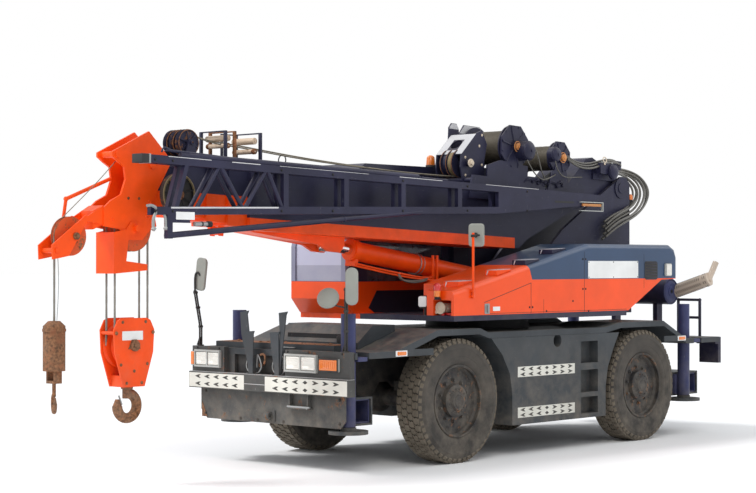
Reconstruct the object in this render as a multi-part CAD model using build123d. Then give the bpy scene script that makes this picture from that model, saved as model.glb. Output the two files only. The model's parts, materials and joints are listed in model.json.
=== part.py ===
"""Two-axle mobile crane with a low slanting boom, in millimetres, +X forward, +Y left, +Z up.

Every station is measured from the ground under the slewing axis, which is midway between the
axles. The finished pieces are shifted along X so that the origin is the middle of the footprint.
"""
from build123d import *
import math
import os

# ------------------------------------------------------------------ driving dimensions
middle_x = 1294.09           # middle of the overall length, measured from the slewing axis

# running gear
wheelbase = 3180.0
body_width = 2200.0
tyre_diameter = 1228.0
tyre_width = 325.0
rim_radius = 362.0           # where the tyre sits
rim_wall = 14.0
rim_dish = 95.0              # from the outer tyre face in to the wheel's disc
hub_radius = 162.0
spindle_radius = 60.0
kingpin_inset = 300.0        # from the outer tyre face in to the kingpin
kingpin_radius = 30.0
axle_radius = 92.0
fork_half = 92.0             # half the height between the axle's fork plates
fork_plate = 36.0
steer_arm = 230.0
run_clear = 0.3              # between a turning piece and what carries it
move_clear = 6.0             # between moving pieces that don't bear on each other

# carrier
frame_half_width = 400.0
rail_wall = 70.0
frame_top = 1280.0
frame_bottom = 620.0
frame_front = 2500.0
frame_rear = -2500.0
cross_member = 80.0
axle_arch_half = 560.0
axle_arch_z = 790.0
engine_gap = 30.0            # between the engine and each rail
deck_thick = 60.0
fender_top = 1325.0
mid_deck_z = 1280.0
front_deck_z = 1140.0
rear_deck_z = 1110.0
carrier_front = 3200.0
carrier_rear = -3160.0
bumper_low = 735.0
bumper_high = 895.0
bumper_deep = 105.0
panel_thick = 14.0
lamp_box_deep = 60.0
lamp_box_top = 1149.0
lamp_box_reach = 870.0       # from the body's left side in to its lamp box's inner end
side_box_bottom = 320.0
side_box_inner = 560.0
ring_radius = 560.0
ring_top = 1395.0

# outriggers: the two beams of each end lie side by side
beam_line_outer = 2985.0     # from the slewing axis to the outer beam
beam_line_inner = 2690.0
beam_width = 210.0
beam_height = 230.0
beam_wall = 14.0
box_wall = 20.0
beam_gap = 0.3               # between a beam and its slide pads
box_bottom = 430.0
jack_inset = 195.0           # from the body's side in to the jack
jack_radius = 70.0
jack_top = 1500.0
rod_radius = 46.0
float_radius = 188.0
float_bottom = 375.0
float_thick = 32.0

# superstructure
deck_plate_z = 1400.0
deck_plate_thick = 55.0
upper_half_width = 1070.0
boom_y = 50.0                # the boom's own middle plane
boom_side_gap = 25.0         # between the boom and each post
post_wall = 40.0
foot_x = -2150.0
foot_z = 2850.0
foot_pin_radius = 60.0
foot_boss = 118.0
house_front = 1650.0
house_rear = -2320.0
house_top = 2185.0
oil_tank_top = 2195.0
bonnet_end = -600.0          # where the sloping bonnet meets the flat top
bonnet_front_z = 1700.0
house_edge = 60.0            # rounding along the outer top edge

# cab
cab_rear = 150.0
cab_front = 1790.0
cab_left = -280.0
cab_right = -1072.0
cab_top = 3020.0
cab_wall = 40.0
cab_waist = 1790.0           # lower edge of the glass
door_rear = 500.0
door_front = 1250.0
door_high = 2900.0
door_clear = 4.0
pane = 8.0

# boom
boom_rest_deg = 2.1
boom_width = 560.0
boom_height = 650.0
boom_drop = 779.0            # from the foot pin down to the base section's underside
boom_wall = 12.0
section_gap = 16.0
pad_clear = 0.5
base_length = 5850.0
section_step = 240.0         # each inner section stands out of the last by this much
inner_rear = 1970.0
hollow_rear = 1850.0         # the base is a closed box in front of this, and a fork behind it

# luffing cylinder
cyl_base = (-900.0, 1686.0)
rod_eye = (2400.0, 2158.0)
barrel_radius = 98.0
cyl_rod_radius = 55.0
eye_radius = 66.0
lug_inner = 90.0             # from the boom's middle plane to its cylinder lugs
lug_plate = 40.0
rod_show = 320.0             # chrome left showing when the rod is fully in

# head and hooks; places are forward and up from the lower edge of the tip section's end
head_sheave_place = (501.0, -112.0)
head_sheave_radius = 205.0
head_pin_radius = 32.0
aux_sheave_place = (1150.0, -187.0)
aux_sheave_radius = 170.0
aux_pin_radius = 25.0
cheek_inner = 88.0           # from the boom's middle plane to the head's side plates
cheek_plate = 24.0
neck_reach = 290.0           # the tip section's nose, between the head's plates
reel_place = (-125.0, 679.0)
reel_radius = 125.0
cable_reel_place = (160.0, 193.0)
cable_reel_radius = 190.0
main_rope_radius = 7.0
sheave_width = 50.0
sheave_pitch = 58.0          # between neighbouring sheaves' middle planes
groove_deep = 26.0           # from a sheave's rim in to the bottom of its groove
block_half = 230.0           # half the hook block's length
block_top = 1490.0
block_shoulder = 1385.0
block_low = 880.0
block_sheave_z = 1245.0
block_plate_inner = 87.0
block_plate = 14.0
weight_radius = 96.0
weight_top = 1480.0
weight_fork = 1052.0         # lower end of the weight's round body
weight_low = 945.0


# ------------------------------------------------------------------ helpers
def block(x0, x1, y0, y1, z0, z1):
    size = (abs(x1 - x0), abs(y1 - y0), abs(z1 - z0))
    return Pos((x0 + x1) / 2, (y0 + y1) / 2, (z0 + z1) / 2) * Box(*size)


def rod_x(x0, x1, y, z, radius):
    return Pos((x0 + x1) / 2, y, z) * Rot(0, 90, 0) * Cylinder(radius, abs(x1 - x0))


def rod_y(x, y0, y1, z, radius):
    return Pos(x, (y0 + y1) / 2, z) * Rot(90, 0, 0) * Cylinder(radius, abs(y1 - y0))


def rod_z(x, y, z0, z1, radius):
    return Pos(x, y, (z0 + z1) / 2) * Cylinder(radius, abs(z1 - z0))


def side_plate(points, y0, y1):
    """A plate whose outline is drawn from the side, from (x, z) points."""
    outline = make_face(Polyline(*[(x, y0, z) for x, z in points], close=True))
    return extrude(outline, amount=abs(y1 - y0), dir=(0, 1 if y1 > y0 else -1, 0))


def front_plate(points, x0, x1):
    """A plate whose outline is drawn from the front, from (y, z) points."""
    outline = make_face(Polyline(*[(x0, y, z) for y, z in points], close=True))
    return extrude(outline, amount=abs(x1 - x0), dir=(1 if x1 > x0 else -1, 0, 0))


def top_plate(points, z0, z1):
    outline = make_face(Polyline(*[(x, y, z0) for x, y in points], close=True))
    return extrude(outline, amount=abs(z1 - z0), dir=(0, 0, 1 if z1 > z0 else -1))


def bar(start, end, radius):
    """A round bar between two points."""
    a = Vector(*start)
    b = Vector(*end)
    plane = Plane(origin=(a + b) * 0.5, z_dir=b - a)
    return plane * Cylinder(radius, (b - a).length)


def pair_of_plates(points, middle, inner, thick):
    """Two equal side plates, one each side of a middle plane."""
    left = side_plate(points, middle + inner, middle + inner + thick)
    right = side_plate(points, middle - inner - thick, middle - inner)
    return left + right


def mirrored(shape):
    return mirror(shape, about=Plane.XZ)


def export(name, shape):
    shape = Pos(-middle_x, 0, 0) * shape
    export_step(shape, os.path.join("parts", name + ".step"))


# ------------------------------------------------------------------ wheels and axles
half_width = body_width / 2
tyre_radius = tyre_diameter / 2
wheel_z = tyre_radius
wheel_y = half_width - tyre_width / 2
kingpin_y = half_width - kingpin_inset
front_axle_x = wheelbase / 2
rear_axle_x = -wheelbase / 2
corners = [                  # name, axle x, side
    ("front_left", front_axle_x, 1),
    ("front_right", front_axle_x, -1),
    ("rear_left", rear_axle_x, 1),
    ("rear_right", rear_axle_x, -1),
]


def spun(profile, x, side):
    """Turns an outline of (radius, out) points about the wheel's axle; out is towards outside."""
    face = make_face(Polyline(*[(r, out, 0) for r, out in profile], close=True))
    solid = revolve(face, axis=Axis.Y, revolution_arc=360)
    if side < 0:
        solid = mirrored(solid)
    return Pos(x, side * wheel_y, wheel_z) * solid


def tyre(x, side):
    half = tyre_width / 2
    tread = half - 28
    bead = half - 34
    profile = [
        (rim_radius, -bead), (rim_radius + 50, -half + 6), (rim_radius + 125, -half),
        (tyre_radius - 40, -half + 10), (tyre_radius - 8, -tread),
        (tyre_radius, 0), (tyre_radius - 8, tread), (tyre_radius - 40, half - 10),
        (rim_radius + 125, half), (rim_radius + 50, half - 6), (rim_radius, bead),
    ]
    return spun(profile, x, side)


def rim(x, side):
    half = tyre_width / 2
    outer = rim_radius - run_clear
    inner = outer - rim_wall
    disc_out = half - rim_dish
    disc_in = disc_out - 30
    lip = half - 24
    hub_face = half - 12
    bore = spindle_radius + run_clear
    bore_end = half - 60
    profile = [
        (bore, -35), (hub_radius - 25, -35), (hub_radius - 25, disc_in), (inner - 20, disc_in),
        (inner, disc_in - 20), (inner, -lip), (outer, -lip), (outer, lip), (inner - 8, lip),
        (inner, lip - 34), (inner, disc_out + 20), (inner - 20, disc_out),
        (hub_radius, disc_out), (hub_radius, hub_face - 34), (hub_radius - 26, hub_face - 20),
        (hub_radius - 60, hub_face - 20), (hub_radius - 74, hub_face), (0, hub_face),
        (0, bore_end), (bore, bore_end),
    ]
    return spun(profile, x, side)


def knuckle(x, side):
    top = fork_half - move_clear / 2
    body = rod_z(x, kingpin_y, wheel_z - top, wheel_z + top, 74)
    spindle_end = half_width - 64
    spindle = rod_y(x, kingpin_y, spindle_end, wheel_z, spindle_radius)
    arm = block(x - steer_arm, x, kingpin_y + 8, kingpin_y + 44, wheel_z - 30, wheel_z + 10)
    bore = rod_z(x, kingpin_y, wheel_z - 200, wheel_z + 200, kingpin_radius + run_clear)
    solid = body + spindle + arm - bore
    return solid if side > 0 else mirrored(solid)


def axle(x):
    """The axle tube with its differential and the fork that holds each kingpin."""
    tube_end = kingpin_y - 110
    low = wheel_z - fork_half - fork_plate
    high = wheel_z + fork_half + fork_plate
    solid = rod_y(x, -tube_end, tube_end, wheel_z, axle_radius)
    solid += Pos(x, 0, wheel_z) * Sphere(165)
    side = block(x - 70, x + 70, tube_end - 60, kingpin_y + 60, low, low + fork_plate)
    side += block(x - 70, x + 70, tube_end - 60, kingpin_y + 60, high - fork_plate, high)
    side += block(x - 70, x + 70, tube_end - 60, tube_end, low, high)
    side += rod_z(x, kingpin_y, low - 12, high + 12, kingpin_radius)
    solid = solid + side + mirrored(side)
    spring_y = frame_half_width - rail_wall
    for y in (-spring_y, spring_y):
        solid += block(x - 60, x + 60, y - 60, y + 60, wheel_z, axle_arch_z)
    return solid


# ------------------------------------------------------------------ carrier
jack_y = half_width - jack_inset
beam_places = [              # name, beam line, side its jack stands on
    ("front_left", beam_line_outer, 1),
    ("front_right", beam_line_inner, -1),
    ("rear_left", -beam_line_inner, 1),
    ("rear_right", -beam_line_outer, -1),
]
engine_place = (-2420.0, -1860.0)


def arch_points(axle_x):
    """The notch in a side rail over an axle, from rear to front."""
    return [
        (axle_x + axle_arch_half, frame_bottom), (axle_x + axle_arch_half - 140, axle_arch_z),
        (axle_x - axle_arch_half + 140, axle_arch_z), (axle_x - axle_arch_half, frame_bottom),
    ]


def chassis_frame():
    outline = [(frame_rear, frame_bottom), (frame_rear, frame_top), (frame_front, frame_top),
               (frame_front, frame_bottom)]
    outline += arch_points(front_axle_x) + arch_points(rear_axle_x)
    solid = side_plate(outline, -frame_half_width, frame_half_width)
    inner = frame_half_width - rail_wall
    solid -= block(frame_rear + 60, frame_front - 60, -inner, inner, 0, frame_top - 40)
    for x in (front_axle_x, rear_axle_x, engine_place[0] + cross_member,
              engine_place[1] - cross_member):
        solid += block(x - cross_member / 2, x + cross_member / 2, -frame_half_width,
                       frame_half_width, axle_arch_z, axle_arch_z + cross_member)
    solid += rod_z(0, 0, frame_top - 40, ring_top, ring_radius)
    return solid


def engine_block():
    reach = frame_half_width - rail_wall - engine_gap
    return block(engine_place[0], engine_place[1], -reach, reach, axle_arch_z + cross_member,
                 frame_top - 55)


def deck_side():
    """Left half of the deck with both fenders, seen from the side."""
    t = deck_thick
    front = carrier_front - bumper_deep
    top = [
        (front, front_deck_z), (2520, front_deck_z), (1930, fender_top), (1275, fender_top),
        (1150, mid_deck_z), (-850, mid_deck_z), (-1130, fender_top), (-1980, fender_top),
        (-2450, rear_deck_z), (carrier_rear, rear_deck_z),
    ]
    under = [
        (carrier_rear, rear_deck_z - t), (-2470, rear_deck_z - t), (-1995, fender_top - t),
        (-1150, fender_top - t), (-870, mid_deck_z - t), (1130, mid_deck_z - t),
        (1290, fender_top - t), (1915, fender_top - t), (2500, front_deck_z - t),
        (front, front_deck_z - t),
    ]
    return side_plate(top + under, frame_half_width, half_width)


def frame_room():
    """The deck's opening over the chassis frame."""
    reach = frame_half_width + run_clear
    return block(frame_rear - run_clear, frame_front + run_clear, -reach, reach, 0,
                 frame_top + run_clear)


def carrier_deck():
    front = carrier_front - bumper_deep
    solid = deck_side() + mirrored(deck_side())
    solid += block(frame_front - 120, front, -frame_half_width, frame_half_width,
                   front_deck_z - deck_thick, front_deck_z)
    solid += block(carrier_rear, frame_rear + 120, -frame_half_width, frame_half_width,
                   rear_deck_z - deck_thick, rear_deck_z)
    for side in (-1, 1):
        y = side * (half_width - 6)
        for x0, x1 in ((1990, 2450), (-2440, -2000)):
            solid += block(x0, x1, y - 6, y + 6, 1085, 1150)
    solid -= frame_room()
    solid -= rod_z(0, 0, 0, 2000, ring_radius + run_clear)
    r = jack_radius + 10
    for name, x, side in beam_places:
        solid -= block(x - r, x + r, side * (jack_y - r), side * 1300, 0, 1600)
    return solid


def deck_covers():
    """The low locker behind the bumper and the slanted hood over the frame's front."""
    locker = block(2760, 3030, -half_width + 215, jack_y - 145, front_deck_z + run_clear,
                   front_deck_z + 58)
    hood_low = front_deck_z + 3
    hood = side_plate([(2545, hood_low), (2545, hood_low + 60), (2330, 1368), (2010, 1368),
                       (2010, 1303), (2525, hood_low)], -560, 610)
    return locker + (hood - frame_room())


def side_box(side):
    outline = [
        (1100, mid_deck_z - 62), (925, 1045), (803, 850), (765, 640), (765, side_box_bottom),
        (-862, side_box_bottom), (-862, 640), (-905, 850), (-1000, 1035),
        (-1115, mid_deck_z - 62),
    ]
    solid = side_plate(outline, side_box_inner, half_width)
    solid += block(-600, 600, frame_half_width + run_clear, side_box_inner, 900, 1100)
    for low, high in ((907, 1139), (594, 834), (367, 544)):
        solid -= block(-720, -410, half_width - 110, body_width, low, high)
    solid -= rod_y(2, half_width - 120, body_width, 1162, 68)
    return solid if side > 0 else mirrored(solid)


def front_bumper():
    rear = carrier_front - bumper_deep
    solid = block(rear, carrier_front, -half_width, half_width, bumper_low, bumper_high)
    for y in (-600, 600):
        solid += block(3030, rear, y - 60, y + 60, bumper_high - 70, front_deck_z - deck_thick)
    for low, high in ((-half_width + 2, -half_width + 470),
                      (half_width - lamp_box_reach, half_width - 10)):
        solid += block(rear, rear + lamp_box_deep, low, high, bumper_high, lamp_box_top)
    panel_back = beam_line_outer + beam_width / 2 + box_wall + beam_gap + run_clear
    low = box_bottom
    reach = half_width - 100
    solid += front_plate([(-reach, low + 90), (-reach + 90, low), (reach - 60, low),
                          (reach, low + 70), (reach, bumper_low), (-reach, bumper_low)],
                         panel_back, panel_back + panel_thick)
    face = panel_back + panel_thick
    step_low = bumper_low - 130
    for y in (300, 545):
        solid += block(face, face + 45, y - 8, y + 8, step_low, bumper_low)
    solid += block(face, face + 60, 270, 575, step_low - 12, step_low)
    tow = rod_y(face + 30, -30, 30, low + 75, 38) - rod_y(face + 30, -40, 40, low + 75, 18)
    solid += block(face, face + 12, -70, 70, low + 20, low + 130) + tow
    return solid


def headlamps():
    """Twin-lamp bezels and turn lamps on the lamp boxes' faces."""
    face = carrier_front - bumper_deep + lamp_box_deep + run_clear
    solid = None
    for low, high in ((-half_width + 55, -half_width + 430), (half_width - 858, half_width - 428)):
        bezel = block(face, face + 26, low, high, bumper_high + 46, bumper_high + 219)
        mid = (low + high) / 2
        for y0, y1 in ((low + 18, mid - 8), (mid + 8, high - 18)):
            bezel -= block(face + 10, face + 40, y0, y1, bumper_high + 66, bumper_high + 199)
        solid = bezel if solid is None else solid + bezel
    solid += block(face, face + 30, half_width - 389, half_width - 141, bumper_high + 68,
                   bumper_high + 189)
    solid += block(face - 40, face + 20, -half_width + 2.5, -half_width + 45, bumper_high + 60,
                   bumper_high + 200) - block(face - 50, face, -half_width, -half_width + 60,
                                              bumper_high, lamp_box_top)
    return solid


def hook_holder():
    """Two pairs of upright prongs on the bumper that steady the stowed hook."""
    base = bumper_high + run_clear
    recess = half_width - lamp_box_reach
    solid = None
    for y, lean_tall, lean_short in ((recess - 445, -115, -20), (recess - 80, 60, -35)):
        foot = block(3100, 3192, y - 60, y + 60, base, base + 10)
        tall = front_plate([(y - 20, base), (y + 25, base), (y + lean_tall + 55, 1480),
                            (y + lean_tall + 75, 1515), (y + lean_tall - 45, 1500),
                            (y + lean_tall - 30, 1290)], 3165, 3176)
        short = front_plate([(y - 25, base), (y + 30, base), (y + lean_short + 60, 1290),
                             (y + lean_short + 75, 1320), (y + lean_short - 60, 1310),
                             (y + lean_short - 45, 1200)], 3180, 3190)
        web = front_plate([(y - 15, base), (y + 20, base), (y + 8, 1060), (y - 6, 1060)],
                          3120, 3190)
        pair = foot + tall + short + web
        solid = pair if solid is None else solid + pair
    return solid


def outrigger_box(side):
    """One end's pair of beam housings; side is +1 at the front and -1 at the rear."""
    inner = beam_line_inner - beam_width / 2 - box_wall - beam_gap
    outer = beam_line_outer + beam_width / 2 + box_wall + beam_gap
    top = box_bottom + beam_height + 2 * box_wall + 2 * beam_gap
    length = jack_y - jack_radius - 12
    solid = block(side * inner, side * outer, -length, length, box_bottom, top)
    for line in (beam_line_inner, beam_line_outer):
        x = side * line
        half = beam_width / 2 + beam_gap
        solid -= block(x - half, x + half, -length - 10, length + 10, box_bottom + box_wall,
                       top - box_wall)
    under_deck = (front_deck_z if side > 0 else rear_deck_z) - deck_thick
    solid += block(side * inner, side * (outer - 130), -300, 300, top, under_deck)
    solid += block(side * frame_front, side * inner, -300, 300, top, frame_bottom + 400)
    return solid


def beam(line, side):
    """A hollow beam with the upright jack tube on its outer end."""
    low = box_bottom + box_wall + beam_gap
    high = low + beam_height
    half = beam_width / 2
    reach = jack_y - jack_radius + 20
    solid = block(line - half, line + half, -reach + 55, reach, low, high)
    solid -= block(line - half + beam_wall, line + half - beam_wall, -reach, reach - 60,
                   low + beam_wall, high - beam_wall)
    solid += rod_z(line, jack_y, box_bottom + 12, jack_top, jack_radius)
    solid += block(line - 62, line + 62, jack_y - 62, half_width - 8, 1060, 1100)
    solid -= rod_z(line, jack_y, 0, jack_top - 30, rod_radius + run_clear)
    return solid if side > 0 else mirrored(solid)


def jack(line, side):
    """The jack's rod with the round float at its foot."""
    solid = rod_z(line, jack_y, float_bottom, jack_top - 120, rod_radius)
    solid += rod_z(line, jack_y, float_bottom, float_bottom + float_thick, float_radius)
    solid += rod_z(line, jack_y, float_bottom + float_thick, box_bottom + 6, rod_radius + 30)
    return solid if side > 0 else mirrored(solid)


muffler_place = (-2905.0, 1640.0)


def exhaust():
    """The muffler across the tail, with its shielded pipe and tip on the left."""
    x, z = muffler_place
    solid = rod_y(x, -350, 590, z, 155)
    for y in (-200, 400):
        solid += block(x - 55, x + 55, y - 30, y + 30, rear_deck_z, z - 120)
    pipe = bar((x - 115, 330, z - 80), (x - 195, 1000, z + 150), 80)
    tip = bar((x - 195, 985, z + 130), (x - 320, 1010, z + 345), 36)
    return solid + pipe + tip


def rear_guard():
    """Tube guard, lamp box and number plate holder at the tail's left corner."""
    x = carrier_rear + 50
    solid = rod_z(x, 560, rear_deck_z, 1540, 18) + rod_z(x, 860, rear_deck_z, 1540, 18)
    for z in (1330, 1540):
        solid += rod_y(x, 560, 860, z, 16)
    solid += Pos(x, 560, 1540) * Sphere(21) + Pos(x, 860, 1540) * Sphere(21)
    for side in (-1, 1):
        y = side * (half_width - 150)
        solid += block(carrier_rear - 60, carrier_rear - run_clear, y - 130, y + 130, 800, 1105)
        solid += block(carrier_rear - 60, carrier_rear + 60, y - 130, y + 130, rear_deck_z
                       - deck_thick - 26, rear_deck_z - deck_thick - run_clear)
    return solid


def carrier_mirrors():
    """A tall mirror each side and a round wide-angle one, on bent poles at the front."""
    x = carrier_front - bumper_deep + lamp_box_deep / 2
    foot = lamp_box_top + run_clear
    solid = None
    for y, lean, top in ((-half_width + 90, -40, 2030), (half_width - 90, 40, 1960)):
        piece = rod_z(x, y, foot, foot + 10, 34)
        piece += bar((x, y, foot), (x, y, 1350), 13) + Pos(x, y, 1350) * Sphere(17)
        piece += bar((x, y, 1350), (x - 20, y + lean, top - 60), 11)
        piece += block(x - 40, x, y + lean - 85, y + lean + 85, top - 330, top)
        solid = piece if solid is None else solid + piece
    y = half_width - 90
    solid += bar((x - 5, y + 12, 1560), (x + 200, y - 130, 1640), 10)
    disc = bar((x + 190, y - 128, 1650), (x + 222, y - 150, 1655), 92)
    return solid + disc


# ------------------------------------------------------------------ superstructure
boom_half = boom_width / 2
post_inner = boom_half + boom_side_gap
deck_plate_top = deck_plate_z + deck_plate_thick
house_inner = boom_y + post_inner + post_wall + 15
post_profile = [
    (-2332, 1435), (-300, 1435), (-300, 1770), (-1030, 2350), (-1640, 2700), (-2070, 2932),
    (-2170, 2985),
    (-2270, 2975), (-2332, 2900),
]


def turntable():
    base = top_plate([(-2332, -upper_half_width), (house_front, -upper_half_width),
                      (house_front, upper_half_width), (-1300, upper_half_width),
                      (-1300, 420), (-2332, 420)], deck_plate_z, deck_plate_top)
    solid = base + rod_z(0, 0, ring_top + run_clear, deck_plate_z + 20, ring_radius - 20)
    solid += pair_of_plates(post_profile, boom_y, post_inner, post_wall)
    reach = post_inner + post_wall + 20
    solid += rod_y(foot_x, boom_y - reach, boom_y + reach, foot_z, foot_pin_radius)
    for side in (-1, 1):
        y = boom_y + side * (reach - 20)
        solid += rod_y(foot_x, y, y + side * 12, foot_z, foot_boss)
    x, z = cyl_base
    solid += pair_of_plates([(x - 180, deck_plate_top - 20), (x + 180, deck_plate_top - 20),
                             (x + 90, z + 70), (x - 60, z + 90), (x - 100, z + 40)],
                            boom_y, 85, 40)
    solid += rod_y(x, boom_y - 130, boom_y + 130, z, 45)
    return solid


def counterweight():
    outer = upper_half_width - 10
    inner = -boom_y + post_inner + post_wall + 20
    solid = block(-2325, -1700, -outer, -inner, deck_plate_top + run_clear, 2080)
    return chamfer(solid.edges().filter_by(Axis.Y).group_by(Axis.X)[0], 90)


def oil_tank():
    """Tank for the hydraulic oil on the right, between the cab and the counterweight."""
    outer = upper_half_width - 20
    inner = -boom_y + post_inner + post_wall + 20
    low = deck_plate_top + run_clear
    solid = block(-1680, cab_rear - 130, -outer, -inner, low, oil_tank_top)
    solid = chamfer(solid.edges().filter_by(Axis.X).group_by(Axis.Z)[-1], 45)
    solid += rod_z(-1400, -outer + 180, oil_tank_top - 20, oil_tank_top + 28, 62)
    return solid


notch_side = 715.0             # inner side of the house's front, beside the turntable
recess_inner = 800.0           # open recess under the front band
recess_outer = 1035.0
recess_top = 1608.0


def bonnet_z(x):
    """Height of the sloping bonnet at a station."""
    slope = (house_top - bonnet_front_z) / (house_front - bonnet_end)
    return house_top - (x - bonnet_end) * slope


def power_house():
    low = deck_plate_top + run_clear
    profile = [
        (house_front, low), (-1337, low), (-1990, 1790), (house_rear + 30, 1800),
        (house_rear, 1830), (house_rear, house_top - 140), (house_rear + 45, house_top - 45),
        (house_rear + 140, house_top), (bonnet_end, house_top), (house_front, bonnet_front_z),
    ]
    solid = side_plate(profile, house_inner, upper_half_width)
    outer = solid.edges().filter_by(Plane.XZ).group_by(Axis.Y)[-1]
    middle = (bonnet_front_z + house_top) / 2
    upper_edges = [edge for edge in outer if edge.center().Z > middle - 20]
    solid = fillet(upper_edges, house_edge)
    notch = block(house_front - 300, house_front + 10, 0, notch_side, low - 1, 2200)
    return solid - notch - block(house_front - 250, house_front + 10, recess_inner, recess_outer,
                                 low - 1, recess_top)


def upper_fittings():
    """Work lamp, horn, beacons and the mirror on its pole."""
    base = deck_plate_top + run_clear
    face = house_front + run_clear
    lamp_y = notch_side - 85
    solid = rod_z(1575, lamp_y, base, 1560, 15)
    solid += rod_x(1530, 1625, lamp_y, 1590, 62)
    horn_y = recess_inner + 66
    solid += Pos(1590, horn_y, 1529) * Rot(0, 90, 0) * Cone(46, 62, 60)
    solid += rod_x(1430, 1565, horn_y, 1529, 52) + rod_z(1480, horn_y, base, 1520, 14)
    beacon = (face + 44, 890.0)
    solid += block(face, beacon[0] + 30, beacon[1] - 16, beacon[1] + 16, 1612, 1622)
    solid += rod_z(*beacon, 1620, 1640, 26) + rod_z(*beacon, 1640, 1780, 38)
    pole = (1375.0, upper_half_width + 18 + run_clear)
    for z in (1640, 1690):
        solid += block(pole[0] - 24, pole[0] + 24, upper_half_width + run_clear, pole[1] + 10,
                       z, z + 14)
    solid += rod_z(*pole, 1625, 2280, 13)
    solid += rod_x(pole[0] - 105, pole[0], pole[1], 2257, 8)
    solid += Pos(pole[0] - 98, pole[1] - 38, 2257) * Rot(0, 0, 20) * Box(32, 168, 235)
    solid += rod_z(cab_rear + 90, cab_right + 612, cab_top + run_clear, cab_top + 150, 58)
    solid += block(-2400, -2332.3, 360, 395, 2690, 2702)
    solid += rod_z(-2372, 378, 2702, 2790, 30)
    return solid


cab_floor = deck_plate_top
door_low = cab_floor + 60
hinge_out = 12.0             # from the cab's corner of the door out to the hinge pin
hinge_radius = 11.0
hinge_pin = 6.0


def cab_outline(inset):
    lean = 210
    return [
        (cab_rear + inset, cab_floor + inset), (cab_front - 130 - inset, cab_floor + inset),
        (cab_front - inset, cab_floor + 150 + inset), (cab_front - inset, 2150),
        (cab_front - lean - inset, cab_top - 60), (cab_front - lean - 90 - inset, cab_top - inset),
        (cab_rear + inset, cab_top - inset),
    ]


def front_opening(inset):
    return block(cab_front - 420, cab_front + 60, cab_right + 60 + inset, cab_left - 60 - inset,
                 cab_waist + inset, 2900 - inset)


def side_panes(inset):
    """Window spaces in the cab's two sides and rear, and the glass that fills them."""
    left = block(cab_rear + 110 + inset, cab_front - 330 - inset, cab_left - cab_wall - 1,
                 cab_left + 1, cab_waist + inset, 2880 - inset)
    right = block(door_front + 70 + inset, cab_front - 300 - inset, cab_right - 1,
                  cab_right + cab_wall + 1, cab_waist + inset, 2700 - inset)
    rear = block(cab_rear - 1, cab_rear + cab_wall + 1, cab_right + 120 + inset,
                 cab_left - 120 - inset, 2100 + inset, 2850 - inset)
    return left + right + rear


def hinge_barrels(radius, first):
    """Knuckles of the door's two hinges; first picks the lower or the upper half of each."""
    solid = None
    for z in (door_low + 180, door_high - 260):
        low = z if first else z + 50 + run_clear
        y = cab_right - hinge_out
        barrel = rod_z(door_rear - hinge_out, y, low, low + 50, radius)
        solid = barrel if solid is None else solid + barrel
    return solid


def hinge_leaf(z, toward):
    """The bent tab from a hinge knuckle to the panel beside it."""
    x = door_rear - hinge_out
    tab = block(x, x + toward * 34, cab_right - hinge_out - 3, cab_right - run_clear, z + 4,
                z + 46)
    return tab + block(x + toward * 18, x + toward * 34, cab_right - 1, cab_right + 1, z + 4,
                       z + 46)


def cab_shell():
    solid = side_plate(cab_outline(0), cab_right, cab_left)
    solid -= side_plate(cab_outline(cab_wall), cab_right + cab_wall, cab_left - cab_wall)
    solid -= block(door_rear - door_clear, door_front + door_clear, cab_right - 1,
                   cab_right + cab_wall + 1, door_low - door_clear, door_high + door_clear)
    solid -= side_panes(0)
    solid -= front_opening(0)
    solid += hinge_barrels(hinge_radius, True)
    for z in (door_low + 180, door_high - 260):
        solid += hinge_leaf(z, -1)
        solid += rod_z(door_rear - hinge_out, cab_right - hinge_out, z, z + 100, hinge_pin)
    return solid


def cab_glass():
    mid = cab_wall / 2
    inner = mid - pane / 2
    outer = mid + pane / 2
    sheet = side_plate(cab_outline(inner), cab_right + inner, cab_left - inner)
    sheet -= side_plate(cab_outline(outer), cab_right + outer, cab_left - outer)
    sides = sheet & side_panes(run_clear)
    front = side_plate(cab_outline(inner), cab_right, cab_left)
    front -= side_plate(cab_outline(outer), cab_right - 1, cab_left + 1)
    return sides + (front & front_opening(run_clear))


def cab_fittings():
    """Operator's seat, side consoles and steering column."""
    mid = (cab_left + cab_right) / 2
    low = cab_floor + cab_wall + run_clear
    x = 850.0
    solid = block(x - 230, x + 230, mid - 240, mid + 240, low + 280, low + 400)
    solid += block(x - 150, x + 150, mid - 140, mid + 140, low, low + 280)
    solid += block(x - 290, x - 190, mid - 220, mid + 220, low + 390, low + 1000)
    for side in (-1, 1):
        y = mid + side * 285
        solid += block(x - 160, x + 160, y - 45, y + 45, low + 300, low + 560)
    column = bar((x + 690, mid, low + 12), (x + 520, mid, low + 620), 32)
    column += block(x + 640, x + 740, mid - 50, mid + 50, low, low + 16)
    wheel = Pos(x + 520, mid, low + 620) * Rot(0, -25, 0) * Torus(170, 14)
    spokes = Pos(x + 520, mid, low + 620) * Rot(0, -25, 0) * Box(340, 26, 12)
    return solid + (column + spokes + wheel)


def cab_door():
    solid = block(door_rear, door_front, cab_right, cab_right + cab_wall, door_low, door_high)
    solid -= block(door_rear + 70, door_front - 70, cab_right - 1, cab_right + cab_wall + 1,
                   cab_waist + 40, door_high - 90)
    solid += hinge_barrels(hinge_radius, False)
    for z in (door_low + 180, door_high - 260):
        solid += hinge_leaf(z + 50 + run_clear, 1)
    solid += block(door_front - 110, door_front - 50, cab_right - 20, cab_right, 1690, 1715)
    return solid - hinge_barrels(hinge_pin + run_clear, False)


def door_glass():
    mid = cab_right + cab_wall / 2
    return block(door_rear + 70 + run_clear, door_front - 70 - run_clear, mid - pane / 2,
                 mid + pane / 2, cab_waist + 40 + run_clear, door_high - 90 - run_clear)


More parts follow.
